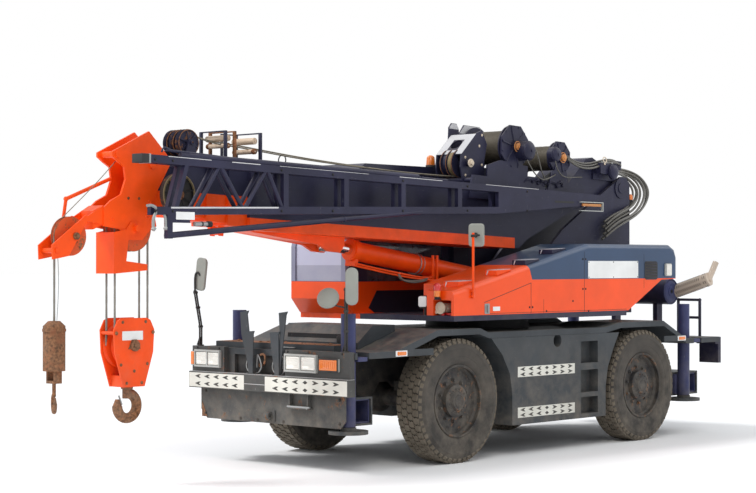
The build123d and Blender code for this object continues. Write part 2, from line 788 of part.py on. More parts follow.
# ------------------------------------------------------------------ luffing cylinder
cyl_angle = math.degrees(math.atan2(rod_eye[1] - cyl_base[1], rod_eye[0] - cyl_base[0]))
cyl_length = math.hypot(rod_eye[1] - cyl_base[1], rod_eye[0] - cyl_base[0])


def on_cylinder(shape):
    """Places a shape drawn along +X from the base pin."""
    return Pos(cyl_base[0], boom_y, cyl_base[1]) * Rot(0, -cyl_angle, 0) * shape


def luff_barrel():
    front = cyl_length - rod_show
    solid = rod_x(190, front, 0, 0, barrel_radius)
    solid += rod_x(front - 90, front - 8, 0, 0, barrel_radius + 14)
    solid += rod_x(40, 200, 0, 0, 66)
    solid += rod_y(0, -70, 70, 0, 80)
    for x in (front - 60, front - 1250):
        solid += block(x - 20, x + 20, -70, 70, -barrel_radius - 60, -barrel_radius + 40)
    for y in (-45, 0, 45):
        solid += rod_x(front - 1250, front - 60, y, -barrel_radius - 42, 13)
    solid -= rod_x(240, front + 10, 0, 0, cyl_rod_radius + run_clear)
    solid -= rod_y(0, -100, 100, 0, 45 + run_clear)
    return on_cylinder(solid)


def luff_rod():
    solid = rod_x(260, cyl_length - 40, 0, 0, cyl_rod_radius)
    solid += rod_y(cyl_length, -75, 75, 0, eye_radius)
    return on_cylinder(solid)


# ------------------------------------------------------------------ boom
boom_centre = -boom_drop + boom_height / 2
boom_low = -boom_drop
boom_top = boom_low + boom_height
rest_angle = math.radians(boom_rest_deg)


def on_boom(shape):
    """Places a shape drawn with the foot pin as origin and the boom along +X."""
    return Pos(foot_x, boom_y, foot_z) * Rot(0, -boom_rest_deg, 0) * shape


def boom_to_ground(x, z):
    """Station and height of a point given along the boom and above its foot pin."""
    return (foot_x + x * math.cos(rest_angle) - z * math.sin(rest_angle),
            foot_z + x * math.sin(rest_angle) + z * math.cos(rest_angle))


def ground_to_boom(x, z):
    dx = x - foot_x
    dz = z - foot_z
    return (dx * math.cos(rest_angle) + dz * math.sin(rest_angle),
            dz * math.cos(rest_angle) - dx * math.sin(rest_angle))


def section_size(index):
    """Outer width and height of section 0 (base) to 3 (tip)."""
    shrink = 2 * (boom_wall + section_gap) * index
    return boom_width - shrink, boom_height - shrink


def section_end(index):
    return base_length + index * section_step


eye_x, eye_z = ground_to_boom(*rod_eye)


def boom_base():
    w = boom_wall
    outline = [
        (base_length, boom_low), (1805, boom_low), (1653, boom_low + 110), (810, -300),
        (140, -112), (0, -foot_boss), (-85, -82), (-foot_boss, 0), (-85, 82), (60, 165),
        (480, 325), (600, 300), (1060, boom_top), (base_length, boom_top),
    ]
    solid = side_plate(outline, -boom_half, boom_half)
    solid -= block(hollow_rear, base_length + 10, -boom_half + w, boom_half - w, boom_low + w,
                   boom_top - w)
    solid -= side_plate([(hollow_rear, boom_low - 10), (hollow_rear, boom_top - 40),
                         (1050, boom_top - 40), (580, 255), (480, 275), (150, 120), (150, -900)],
                        -boom_half + 60, boom_half - 60)
    inner_w, inner_h = section_size(1)
    collar = block(base_length - 60, base_length, -boom_half - 12, boom_half + 12,
                   boom_low - 12, boom_top + 12)
    collar -= block(base_length - 80, base_length + 20, -inner_w / 2 - pad_clear,
                    inner_w / 2 + pad_clear, boom_centre - inner_h / 2 - pad_clear,
                    boom_centre + inner_h / 2 + pad_clear)
    solid += collar
    solid -= rod_y(0, -boom_half - 10, boom_half + 10, 0, foot_pin_radius + run_clear)
    lug = [(base_length - 75, boom_low), (eye_x + 230, boom_low - 90), (eye_x + 90, eye_z - 70),
           (eye_x - 60, eye_z - 75), (eye_x - 120, eye_z), (eye_x - 120, boom_low)]
    solid += pair_of_plates(lug, 0, lug_inner, lug_plate)
    keel = [(base_length - 75, boom_low), (eye_x + 260, boom_low - 80), (eye_x + 240, boom_low)]
    solid += side_plate(keel, -lug_inner - lug_plate, lug_inner + lug_plate)
    return on_boom(solid)


def boom_section(index, rear, next_size):
    """An inner section; the last one has no collar, so its next_size is None."""
    length = section_end(index)
    width, height = section_size(index)
    w = boom_wall
    low = boom_centre - height / 2
    high = boom_centre + height / 2
    solid = block(rear, length, -width / 2, width / 2, low, high)
    solid -= block(rear - 10, length + 10, -width / 2 + w, width / 2 - w, low + w, high - w)
    grow = section_gap - pad_clear
    heel = block(rear, rear + 60, -width / 2 - grow, width / 2 + grow, low - grow, high + grow)
    heel -= block(rear - 10, rear + 80, -width / 2 + w, width / 2 - w, low + w, high - w)
    solid += heel
    if next_size is not None:
        next_w, next_h = next_size
        collar = block(length - 50, length, -width / 2, width / 2, low, high)
        collar -= block(length - 60, length + 10, -next_w / 2 - pad_clear,
                        next_w / 2 + pad_clear, boom_centre - next_h / 2 - pad_clear,
                        boom_centre + next_h / 2 + pad_clear)
        solid += collar
    return solid


def section_2():
    solid = boom_section(1, inner_rear, section_size(2))
    width, height = section_size(1)
    low = boom_centre - height / 2
    front = section_end(1)
    solid += pair_of_plates([(front - 130, low), (front - 64, low), (front - 70, low - 90),
                             (front - 120, low - 90)], 0, 52, 14)
    solid += rod_y(front - 96, -66, 66, low - 65, 16)
    return on_boom(solid)


tip_x, tip_z = boom_to_ground(section_end(3), boom_centre - section_size(3)[1] / 2)


def from_tip(place):
    """Station and height of a place given from the lower edge of the tip section's end."""
    return tip_x + place[0], tip_z + place[1]


head_sheave = from_tip(head_sheave_place)
aux_sheave = from_tip(aux_sheave_place)
reel = from_tip(reel_place)
cable_reel = from_tip(cable_reel_place)


def tip_section():
    width, height = section_size(3)
    top = boom_centre + height / 2
    low = boom_centre - height / 2
    end = section_end(3)
    solid = boom_section(3, inner_rear, None)
    solid += block(end - 20, end, -width / 2, width / 2, low, top)
    neck = cheek_inner - run_clear
    solid += block(end - 10, end + neck_reach, -neck, neck, low + 40, top - 30)
    reel_x, reel_z = ground_to_boom(*reel)
    solid += pair_of_plates([(reel_x - 90, top), (reel_x + 90, top), (reel_x + 30, reel_z + 30),
                             (reel_x - 30, reel_z + 30)], 0, 140, 14)
    solid += rod_y(reel_x, -170, 170, reel_z, 20)
    x, z = ground_to_boom(*cable_reel)
    solid += rod_y(x, neck - 10, 265, z, 26)
    return on_boom(solid)


def boom_head():
    """The tip section's head: twin plates with the sheave pins, and the arm for the small hook."""
    x, z = tip_x, tip_z
    outline = [
        (x + 341, z + 758), (x + 74, z + 502), (x + 307, z + 130), (x + 256, z - 90),
        (x + 346, z - 140), (x + 420, z - 215), (x + 600, z - 215), (x + 680, z - 120),
        (x + 856, z - 95), (x + 856, z + 60), (x + 771, z + 130), (x + 659, z + 185),
        (x + 608, z + 320), (x + 626, z + 431), (x + 693, z + 471), (x + 761, z + 518),
        (x + 761, z + 558),
    ]
    solid = pair_of_plates(outline, boom_y, cheek_inner, cheek_plate)
    outer = cheek_inner + cheek_plate
    solid += side_plate([(x + 345, z + 130), (x + 375, z + 130), (x + 375, z + 660),
                         (x + 345, z + 660)], boom_y - cheek_inner, boom_y + cheek_inner)
    solid += block(x + 800, x + 856, boom_y - cheek_inner, boom_y + cheek_inner, z - 90, z + 55)
    for dx, dz in ((700, 538), (250, 500)):
        solid += rod_y(x + dx, boom_y - outer - 8, boom_y + outer + 8, z + dz, 30)
    solid += rod_y(head_sheave[0], boom_y - outer - 45, boom_y + outer + 45, head_sheave[1],
                   head_pin_radius)
    for side in (-1, 1):
        y = boom_y + side * outer
        solid += rod_y(x + 305, y, y + side * 16, z + 470, 44)
    ax, az = aux_sheave
    arm = [(x + 850, z + 85), (ax - 131, az + 175), (ax - 105, az + 180), (ax + 250, az - 78),
           (ax + 244, az - 202), (ax + 71, az - 171), (ax - 125, az + 132), (x + 850, z - 85)]
    solid += pair_of_plates(arm, boom_y, cheek_inner, cheek_plate * 0.6)
    solid += side_plate([(x + 850, z + 85), (ax - 200, az + 222), (ax - 200, az + 60),
                         (x + 850, z - 85)], boom_y - cheek_inner, boom_y + cheek_inner)
    solid += rod_y(ax, boom_y - outer, boom_y + outer, az, aux_pin_radius)
    solid += rod_y(ax + 200, boom_y - outer, boom_y + outer, az - 125, 22)
    guard_y = boom_y - 60
    solid += bar((x + 640, guard_y, z + 330), (x + 1147, guard_y + 20, z + 136), 17)
    solid += Pos(x + 1147, guard_y + 20, z + 136) * Sphere(22)
    solid += bar((x + 1147, guard_y + 20, z + 136), (ax + 10, boom_y - cheek_inner - 8, az - 10),
                 15)
    return solid


def grooved_wheel(x, z, y, radius, width, bore):
    low = radius - groove_deep
    profile = [
        (bore, -width / 2), (radius, -width / 2), (low, -6), (low, 6), (radius, width / 2),
        (bore, width / 2),
    ]
    face = make_face(Polyline(*[(r, out, 0) for r, out in profile], close=True))
    return Pos(x, y, z) * revolve(face, axis=Axis.Y, revolution_arc=360)


def head_sheaves():
    """Rope sheaves on the head's pins, the three guide reels and the flat cable reel."""
    solid = grooved_wheel(aux_sheave[0], aux_sheave[1], boom_y, aux_sheave_radius, 56,
                          aux_pin_radius + run_clear)
    for step in (-1, 0, 1):
        solid += grooved_wheel(head_sheave[0], head_sheave[1], boom_y + step * sheave_pitch,
                               head_sheave_radius, sheave_width, head_pin_radius + run_clear)
    for step in (-1, 0, 1):
        solid += grooved_wheel(reel[0], reel[1], boom_y + step * 84, reel_radius, 40,
                               20 + run_clear)
    x, z = cable_reel
    disc = rod_y(x, boom_y + 265 + run_clear, boom_y + 310, z, cable_reel_radius)
    disc -= rod_y(x, boom_y + 290, boom_y + 320, z, cable_reel_radius - 22)
    return solid + disc


# ------------------------------------------------------------------ winches
main_winch = (1934.0, 325.0)  # along the boom and above the foot pin
aux_winch = (1112.0, 270.0)
guide_sheave = (2590.0, 99.0)
guide_sheave_radius = 150.0
guide_plate = 180.0            # outer face of the guide sheave's plates from the boom's middle
winch_plate = 300.0
winch_axle = 40.0
manifold_rear = -70.0         # rear face of the hose manifold, along the boom from the foot pin
drum_half = 262.0


def winch(place, flange, core):
    x, z = place
    solid = rod_y(x, -drum_half, drum_half, z, core)
    for side in (-1, 1):
        y = side * drum_half
        solid += rod_y(x, y, y - side * 16, z, flange)
    solid -= rod_y(x, -drum_half - 10, drum_half + 10, z, winch_axle + run_clear)
    return on_boom(solid)


def eight_sided(x, z, radius):
    """Corners of a regular eight-sided cover."""
    return [(x + radius * math.cos(math.radians(22.5 + 45 * i)),
             z + radius * math.sin(math.radians(22.5 + 45 * i))) for i in range(8)]


def winch_frame():
    low = boom_top - 150
    seat = boom_half + run_clear
    thick = winch_plate - seat
    solid = pair_of_plates([(1690, low), (2400, low), (2400, 90), (2180, 160), (1700, 130)], 0,
                           seat, thick)
    solid += pair_of_plates([(880, low), (1400, low), (1250, 120), (990, 120)], 0, seat, thick)
    solid += pair_of_plates([(1380, low), (1760, low), (1760, 20), (1380, 20)], 0, seat, thick)
    solid += pair_of_plates([(2380, low), (2700, low), (2640, -30), (2380, -30)], 0, seat, thick)
    for place, radius in ((main_winch, 250), (aux_winch, 195)):
        x, z = place
        solid += pair_of_plates(eight_sided(x, z, radius), 0, seat, thick)
        solid += rod_y(x, -winch_plate - 22, winch_plate + 22, z, winch_axle)
        solid += rod_y(x, winch_plate, winch_plate + 34, z, 62)
        for turn in range(6):
            angle = math.radians(60 * turn + 12)
            reach = radius - 30
            solid += bar((x, winch_plate, z), (x + reach * math.cos(angle), winch_plate,
                                              z + reach * math.sin(angle)), 11)
    solid += rod_y(main_winch[0] - 95, winch_plate, winch_plate + 120, main_winch[1] - 40, 108)
    solid += rod_y(aux_winch[0] + 175, winch_plate, winch_plate + 80, aux_winch[1] + 20, 82)
    for x in (1200, 1560, 2360, 2620):
        solid += rod_y(x, -seat, seat, boom_top + 45, 28)
    x, z = guide_sheave
    solid += pair_of_plates([(2300, boom_top + 5), (2650, boom_top + 5), (2700, 50), (2690, 190),
                             (2440, 440), (2360, 470), (2270, 330), (2310, 140)], 0,
                            guide_plate - 18, 18)
    solid += rod_y(x, -guide_plate - 40, guide_plate + 40, z, 34)
    solid += rod_y(x, -86, 86, z, guide_sheave_radius - 22)
    for y in (-78, 0, 78):
        solid += rod_y(x, y - 8, y + 8, z, guide_sheave_radius)
    window = side_plate([(2690, 190), (2450, 430), (2438, 418), (2678, 178)], -guide_plate,
                        guide_plate)
    window -= Pos(2564, 0, 304) * Rot(0, 45, 0) * Cylinder(70, 80)
    solid += window
    y, top = -guide_plate - 9, 562
    solid += side_plate([(2330, 100), (2430, 100), (2485, 330), (2480, top - 50), (2440, top),
                         (2360, top), (2320, top - 60), (2305, 330)], y - 9, y + 9)
    top = 576
    solid += side_plate([(1740, 400), (2190, 400), (2190, 470), (2110, top), (1850, top),
                         (1740, 520)], -winch_plate, -seat)
    solid += block(manifold_rear, 130, boom_half - 200, winch_plate, 215, 320)
    solid += block(40, 480, seat, winch_plate, 75, 265)
    solid += block(150, 469, winch_plate - 1, winch_plate + 95, 140, 262)
    return on_boom(solid)


# ------------------------------------------------------------------ stowed jib
jib_inner = 480.0
jib_outer = 620.0
jib_front = 5180.0
jib_top_z = 2915.0           # the top chord's upper edge at its front
jib_low_z = 2462.0           # the bottom chord's upper edge at its front
jib_top_slope = 0.0245
jib_low_slope = -0.0225
chord_deep = 70.0
chord_wall = 46.0
plate_front = 390.0
jib_tail = -1530.0


def jib_top(x):
    return jib_top_z - (jib_front - x) * jib_top_slope


def jib_low(x):
    return jib_low_z - (jib_front - x) * jib_low_slope


def jib_side(y):
    """One side of the stowed extension: two chords, posts, diagonals and the plated tail."""
    front = jib_front
    solid = side_plate([(front, jib_top(front)), (front, jib_top(front) - chord_deep),
                        (plate_front, jib_top(plate_front) - chord_deep),
                        (plate_front, jib_top(plate_front))], y, y + chord_wall)
    low_front = front - 110
    solid += side_plate([(low_front, jib_low(low_front)),
                         (low_front, jib_low(low_front) - chord_deep),
                         (plate_front, jib_low(plate_front) - chord_deep),
                         (plate_front, jib_low(plate_front))], y, y + chord_wall)
    tail = [(plate_front, jib_top(plate_front)), (jib_tail + 60, jib_top(jib_tail) - 8),
            (jib_tail, jib_top(jib_tail) - 40), (jib_tail, 2650), (-938, 2605),
            (plate_front, jib_low(plate_front) - chord_deep)]
    solid += side_plate(tail, y, y + chord_wall)
    for x in (1020, 1890, 2710, 3520):
        solid += side_plate([(x - 32, jib_low(x) - 20), (x + 32, jib_low(x) - 20),
                             (x + 32, jib_top(x) - 40), (x - 32, jib_top(x) - 40)],
                            y, y + chord_wall)
    end = [(low_front - 46, jib_low(low_front) - 40), (low_front, jib_low(low_front) - 40),
           (front - 260, jib_top(front) - 20), (front - 306, jib_top(front) - 20)]
    solid += side_plate([(x - 180, z) for x, z in end], y, y + chord_wall)
    mid = y + chord_wall / 2
    for x0, x1 in ((4620, 4330), (4040, 4330), (4040, 3750), (3540, 3750)):
        solid += bar((x0, mid, jib_low(x0) - 35), (x1, mid, jib_top(x1) - 35), 20)
    return solid


def jib():
    """The lattice extension stowed along the boom's left side."""
    solid = jib_side(jib_inner) + jib_side(jib_outer - chord_wall)
    for x in (-1350, -400, 380, 1020, 1890, 2710, 3520, 4330, 4860):
        top = jib_top(x) - 35
        solid += rod_y(x, jib_inner + 20, jib_outer - 20, top, 16)
        if x > plate_front:
            solid += rod_y(x, jib_inner + 20, jib_outer - 20, jib_low(x) - 35, 16)
    pipe_y = jib_outer - chord_wall / 2
    solid += bar((4800, pipe_y, jib_top(4800) + 18), (1650, pipe_y, jib_top(1650) + 18), 24)
    solid += bar((4960, pipe_y, 2215), (2730, pipe_y, 2400), 27)
    solid += Pos(2730, pipe_y, 2400) * Sphere(31)
    solid += bar((2730, pipe_y, 2400), (1600, pipe_y, jib_low(1600) - 50), 25)
    solid += block(4900, 4960, jib_outer - chord_wall, jib_outer, 2190, jib_low(4900) - 20)
    solid += block(4700, 4900, jib_outer - chord_wall, jib_outer, 2330, jib_low(4900) - 50)
    for x in (3300, 700):
        z = jib_low(x) - 35
        solid += block(x - 60, x + 60, boom_y + boom_half + run_clear, jib_inner + 20, z - 30,
                       z + 30)
    return solid


# ------------------------------------------------------------------ hydraulic hoses
hose_radius = 19.0
hose_route = [               # station and height along each clamped hose, boom end first
    boom_to_ground(manifold_rear - run_clear, 268), boom_to_ground(manifold_rear - 330, 268),
    (-2860, 3010), (-2985, 2740), (-2870, 2480), (-2590, 2330), (-2250, 2255),
]
hose_places = (190.0, 235.0, 280.0)


def boom_hoses():
    """Hoses that leave the boom's manifold and loop down behind the foot pin."""
    solid = None
    for i, y in enumerate(hose_places):
        grow = 1 + 0.04 * (i - 1)
        points = hose_route[:2]
        for x, z in hose_route[2:]:
            points.append((foot_x + (x - foot_x) * grow, foot_z + (z - foot_z) * grow))
        path = FilletPolyline(*[(x, y, z) for x, z in points], radius=150)
        start = Plane(origin=path @ 0, z_dir=path % 0)
        hose = sweep(start * Circle(hose_radius), path=path)
        solid = hose if solid is None else solid + hose
    return solid


# ------------------------------------------------------------------ hooks
rope_inset = groove_deep - main_rope_radius - run_clear   # from a rim in to the rope's centre


def rope(x, y, z0, z1):
    return rod_z(x, y, z0, z1, main_rope_radius)


def main_hook_block():
    """Twin-sheave block with its rope falls, and the guide that hangs from the head's pin."""
    x, z = head_sheave
    outer = block_plate_inner + block_plate
    reach = head_sheave_radius - rope_inset
    keeper = 16.0            # radius of the pins that keep the falls in the sheaves
    solid = pair_of_plates([
        (x - block_half, block_shoulder), (x - block_half + 45, block_top - 20),
        (x - block_half + 85, block_top), (x + block_half - 85, block_top),
        (x + block_half - 45, block_top - 20), (x + block_half, block_shoulder),
        (x + block_half - 12, block_sheave_z - 60),
        (x + 120, block_low), (x - 120, block_low),
        (x - block_half + 12, block_sheave_z - 60),
    ], boom_y, block_plate_inner, block_plate)
    solid += rod_y(x, boom_y - outer - 22, boom_y + outer + 22, block_sheave_z, 42)
    solid += block(x - 110, x + 110, boom_y - block_plate_inner, boom_y + block_plate_inner,
                   block_low, block_low + 100)
    for side in (-1, 1):
        keeper_x = x + side * (reach + main_rope_radius + keeper - 1)
        solid += rod_y(keeper_x, boom_y - outer - 6, boom_y + outer + 6, block_shoulder - 25,
                       keeper)
        solid += grooved_wheel(x, block_sheave_z, boom_y + side * sheave_pitch,
                               head_sheave_radius, sheave_width, 30)
    for dx in (-reach, reach):
        for y in (-sheave_pitch, sheave_pitch):
            solid += rope(x + dx, boom_y + y, block_sheave_z, z)
    return solid + rope_guide()


def rope_guide():
    """Open-backed guide around the main falls, hung on the ends of the head sheaves' pin."""
    x, z = head_sheave
    inner = cheek_inner + cheek_plate + 3
    front = x + 240
    side = [(x - 60, z + 55), (x + 60, z + 55), (x + 110, z - 10), (front, z - 35),
            (front, z - 400), (x - 130, z - 372), (x - 130, z - 318), (x + 110, z - 290),
            (x + 80, z - 60), (x - 60, z - 55)]
    solid = pair_of_plates(side, boom_y, inner, 10)
    solid += block(front, front + 10, boom_y - inner - 10, boom_y + inner + 10, z - 400, z - 35)
    reach = inner + 20
    return solid - rod_y(x, boom_y - reach, boom_y + reach, z, head_pin_radius + run_clear)


def hook_shape(x, y, top, size, thick, drop):
    """A forged hook hanging from its shank; size is the inner radius of its bowl."""
    bowl_z = top - drop
    bend = size + thick / 2
    shank = rod_z(x, y, bowl_z + size + 2, top, thick * 0.45)
    ring = Pos(x, y, bowl_z) * Rot(90, 0, 0) * Torus(bend, thick / 2)
    gap = block(x, x + bend * 1.6, y - thick, y + thick, bowl_z, bowl_z + bend * 1.6)
    point = Pos(x + bend, y, bowl_z - 2) * Cone(thick * 0.47, thick * 0.2, size,
                                                align=(Align.CENTER, Align.CENTER, Align.MIN))
    return shank + (ring - gap) + point


def hook_bowl_z(which):
    """Height of the seat in the bowl of a hook, where a sling rests."""
    top, size, thick, drop = hook_places[which]
    return top - drop - size


hook_places = {     # shank's top, inner radius of the bowl, thickness, bowl's centre below the top
    "main": (block_low - run_clear, 64.0, 92.0, 172.0),
    "aux": (weight_low - run_clear, 56.0, 36.0, 172.0),
}
aux_rope_x = aux_sheave[0] + aux_sheave_radius - rope_inset
aux_hook_turn = 60.0         # the small hook hangs turned about its own shank


def main_hook():
    return hook_shape(head_sheave[0], boom_y, *hook_places["main"])


def aux_hook_weight():
    x = aux_rope_x
    solid = rod_z(x, boom_y, weight_fork, weight_top - 40, weight_radius)
    solid += Pos(x, boom_y, weight_top - 20) * Cone(weight_radius - 4, 52, 40)
    solid += rod_z(x, boom_y, weight_top - 90, weight_top - 66, weight_radius + 6)
    solid += block(x - 44, x + 44, boom_y - 50, boom_y + 50, weight_low, weight_low + 24)
    for side in (-1, 1):
        solid += block(x - 40, x + 40, boom_y + side * 50 - 8, boom_y + side * 50 + 8,
                       weight_low, weight_fork + 10)
    solid += rope(x, boom_y, weight_top, aux_sheave[1])
    return solid


def aux_hook():
    shape = hook_shape(0, 0, *hook_places["aux"])
    return Pos(aux_rope_x, boom_y, 0) * Rot(0, 0, aux_hook_turn) * shape


# ------------------------------------------------------------------ all pieces
def build_all():
    pieces = {}
    for name, x, side in corners:
        pieces["tyre_" + name] = tyre(x, side)
        pieces["rim_" + name] = rim(x, side)
        pieces["knuckle_" + name] = knuckle(x, side)
    for name, line, side in beam_places:
        pieces["outrigger_beam_" + name] = beam(line, side)
        pieces["outrigger_jack_" + name] = jack(line, side)
    pieces["axles"] = axle(front_axle_x) + axle(rear_axle_x)
    pieces["chassis_frame"] = chassis_frame()
    pieces["engine_block"] = engine_block()
    pieces["carrier_deck"] = carrier_deck()
    pieces["deck_covers"] = deck_covers()
    pieces["side_boxes"] = side_box(1) + side_box(-1)
    pieces["front_bumper"] = front_bumper()
    pieces["headlamps"] = headlamps()
    pieces["hook_holder"] = hook_holder()
    pieces["outrigger_boxes"] = outrigger_box(1) + outrigger_box(-1)
    pieces["exhaust"] = exhaust()
    pieces["rear_guard"] = rear_guard()
    pieces["carrier_mirrors"] = carrier_mirrors()
    pieces["turntable"] = turntable()
    pieces["counterweight"] = counterweight()
    pieces["oil_tank"] = oil_tank()
    pieces["power_house"] = power_house()
    pieces["upper_fittings"] = upper_fittings()
    pieces["cab_shell"] = cab_shell()
    pieces["cab_glass"] = cab_glass()
    pieces["cab_fittings"] = cab_fittings()
    pieces["cab_door"] = cab_door()
    pieces["cab_door_glass"] = door_glass()
    pieces["luff_barrel"] = luff_barrel()
    pieces["luff_rod"] = luff_rod()
    pieces["boom_base"] = boom_base()
    pieces["boom_section_2"] = section_2()
    pieces["boom_section_3"] = on_boom(boom_section(2, inner_rear, section_size(3)))
    pieces["boom_tip"] = tip_section()
    pieces["boom_head"] = boom_head()
    pieces["head_sheaves"] = head_sheaves()
    pieces["winch_frame"] = winch_frame()
    pieces["main_winch_drum"] = winch(main_winch, 235, 140)
    pieces["aux_winch_drum"] = winch(aux_winch, 180, 110)
    pieces["boom_hoses"] = boom_hoses()
    pieces["jib"] = jib()
    pieces["main_hook_block"] = main_hook_block()
    pieces["main_hook"] = main_hook()
    pieces["aux_hook_weight"] = aux_hook_weight()
    pieces["aux_hook"] = aux_hook()
    return pieces


os.makedirs("parts", exist_ok=True)
for piece_name, piece in build_all().items():
    export(piece_name, piece)
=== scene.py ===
import bpy
import json
import math
import random
from mathutils import Vector, Matrix

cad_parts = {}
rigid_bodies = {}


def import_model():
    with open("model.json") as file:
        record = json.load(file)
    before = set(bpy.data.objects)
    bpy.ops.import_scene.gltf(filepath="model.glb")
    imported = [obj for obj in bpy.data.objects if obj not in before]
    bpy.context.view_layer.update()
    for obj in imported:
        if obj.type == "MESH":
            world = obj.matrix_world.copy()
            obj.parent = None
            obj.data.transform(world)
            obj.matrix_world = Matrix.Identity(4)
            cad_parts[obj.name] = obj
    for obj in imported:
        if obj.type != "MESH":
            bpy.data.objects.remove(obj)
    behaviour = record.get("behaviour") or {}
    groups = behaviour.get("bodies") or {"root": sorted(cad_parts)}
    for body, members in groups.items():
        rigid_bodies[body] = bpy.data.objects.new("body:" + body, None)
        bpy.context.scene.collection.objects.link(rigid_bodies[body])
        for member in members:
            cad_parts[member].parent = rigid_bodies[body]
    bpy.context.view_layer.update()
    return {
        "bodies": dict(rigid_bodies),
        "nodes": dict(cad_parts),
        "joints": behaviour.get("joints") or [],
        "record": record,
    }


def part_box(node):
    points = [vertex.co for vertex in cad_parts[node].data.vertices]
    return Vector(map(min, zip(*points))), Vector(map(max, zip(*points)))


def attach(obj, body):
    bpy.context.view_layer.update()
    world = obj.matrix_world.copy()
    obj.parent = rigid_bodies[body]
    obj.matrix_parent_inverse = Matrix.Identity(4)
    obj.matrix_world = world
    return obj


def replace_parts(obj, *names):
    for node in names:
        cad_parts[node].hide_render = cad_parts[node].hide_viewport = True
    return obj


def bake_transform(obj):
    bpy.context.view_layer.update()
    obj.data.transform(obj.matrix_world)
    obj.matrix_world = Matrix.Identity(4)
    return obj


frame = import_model()
nodes = frame["nodes"]
joints = {joint["name"]: joint for joint in frame["joints"]}
slewX = joints["slew"]["pos_m"][0]              # the slewing axis, from the origin
footX, footY, footZ = joints["boom_luff"]["pos_m"]
boomTilt = math.radians(2.1)                    # the boom's slope at rest
ramTilt = math.radians(8.14)                    # the luffing cylinder's slope at rest
boomLine = 0.05                                 # the boom's middle, left of the slewing axis
dice = random.Random(16)
print("frame loaded:", len(nodes), "solids")


# places on the machine, in metres

def at(x, y, z):
    return Vector((x + slewX, y, z))            # from the ground under the slewing axis


def onBoom(x, y, z):
    c, s = math.cos(boomTilt), math.sin(boomTilt)      # from the boom's foot pin
    return Vector((footX + x * c - z * s, footY + y, footZ + x * s + z * c))


def onRam(x, y, z):
    base = joints["luff_barrel_pivot"]["pos_m"]
    c, s = math.cos(ramTilt), math.sin(ramTilt)        # from the cylinder's base pin
    return Vector((base[0] + x * c - z * s, footY + y, base[2] + x * s + z * c))


# small tools for the modelling below

def clearPick():
    if bpy.context.mode != "OBJECT":
        bpy.ops.object.mode_set(mode="OBJECT")
    bpy.ops.object.select_all(action="DESELECT")


def pick(obj):
    clearPick()
    obj.select_set(True)
    bpy.context.view_layer.objects.active = obj


def settle(obj):
    pick(obj)
    bpy.ops.object.transform_apply(location=True, rotation=True, scale=True)


def editAll(obj):
    pick(obj)
    bpy.ops.object.mode_set(mode="EDIT")
    bpy.ops.mesh.select_all(action="SELECT")


def endEdit():
    bpy.ops.object.mode_set(mode="OBJECT")


def closeUp(gap):
    # after a spin: weld the seam and turn all faces outward
    bpy.ops.mesh.select_all(action="SELECT")
    bpy.ops.mesh.remove_doubles(threshold=gap)
    bpy.ops.mesh.normals_make_consistent(inside=False)
    endEdit()


def newPart(name, points, edges, faces):
    mesh = bpy.data.meshes.new(name)
    mesh.from_pydata(points, edges, faces)
    obj = bpy.data.objects.new(name, mesh)
    bpy.context.collection.objects.link(obj)
    return obj


def pickFaces(obj, test):
    pick(obj)
    bpy.ops.object.mode_set(mode="EDIT")
    bpy.ops.mesh.select_mode(type="FACE")
    bpy.ops.mesh.select_all(action="DESELECT")
    endEdit()
    for face in obj.data.polygons:
        face.select = test(face.center, face.normal)
    bpy.ops.object.mode_set(mode="EDIT")


def applyBevel(obj, width, segments=2, angle=35):
    pick(obj)
    edge = obj.modifiers.new("edge", "BEVEL")
    edge.width = width
    edge.segments = segments
    edge.limit_method = "ANGLE"
    edge.angle_limit = math.radians(angle)
    bpy.ops.object.modifier_apply(modifier="edge")


def smooth(obj, angle=40):
    pick(obj)
    bpy.ops.object.shade_smooth_by_angle(angle=math.radians(angle))


def joinAll(parts):
    clearPick()
    for part in parts:
        part.select_set(True)
    bpy.context.view_layer.objects.active = parts[0]
    if len(parts) > 1:
        bpy.ops.object.join()
    return parts[0]


def finishPiece(name, parts, body, material, angle=40):
    obj = joinAll(parts if isinstance(parts, list) else [parts])
    obj.name = name
    obj.data.name = name
    if material is not None:
        obj.data.materials.clear()
        obj.data.materials.append(material)
    smooth(obj, angle)
    if body is not None:
        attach(obj, body)
    return obj


def boxPart(low, high, bevel=0.003, segments=2):
    low, high = Vector(low), Vector(high)
    clearPick()
    bpy.ops.mesh.primitive_cube_add(size=1, location=(low + high) / 2, scale=high - low)
    obj = bpy.context.active_object
    settle(obj)
    if bevel:
        applyBevel(obj, bevel, segments)
    return obj


def turnPart(obj, angle, axis, centre):
    spin = Matrix.Rotation(math.radians(angle), 4, axis)
    place = Matrix.Translation(centre) @ spin @ Matrix.Translation(-Vector(centre))
    obj.matrix_world = place @ obj.matrix_world
    settle(obj)
    return obj


def rodPart(start, end, radius, sides=16, bevel=0.0, endRadius=None):
    start, end = Vector(start), Vector(end)
    clearPick()
    turn = (end - start).to_track_quat("Z", "Y").to_euler()
    if endRadius is None:
        bpy.ops.mesh.primitive_cylinder_add(vertices=sides, radius=radius,
                                            depth=(end - start).length,
                                            location=(start + end) / 2, rotation=turn)
    else:
        bpy.ops.mesh.primitive_cone_add(vertices=sides, radius1=radius, radius2=endRadius,
                                        depth=(end - start).length,
                                        location=(start + end) / 2, rotation=turn)
    obj = bpy.context.active_object
    settle(obj)
    if bevel:
        applyBevel(obj, bevel)
    return obj


def boltPart(place, facing, size=0.014, tall=0.010):
    place, facing = Vector(place), Vector(facing).normalized()
    head = rodPart(place, place + facing * tall, size, 6, size * 0.18)
    washer = rodPart(place - facing * 0.001, place + facing * tall * 0.3, size * 1.45, 12)
    return joinAll([head, washer])


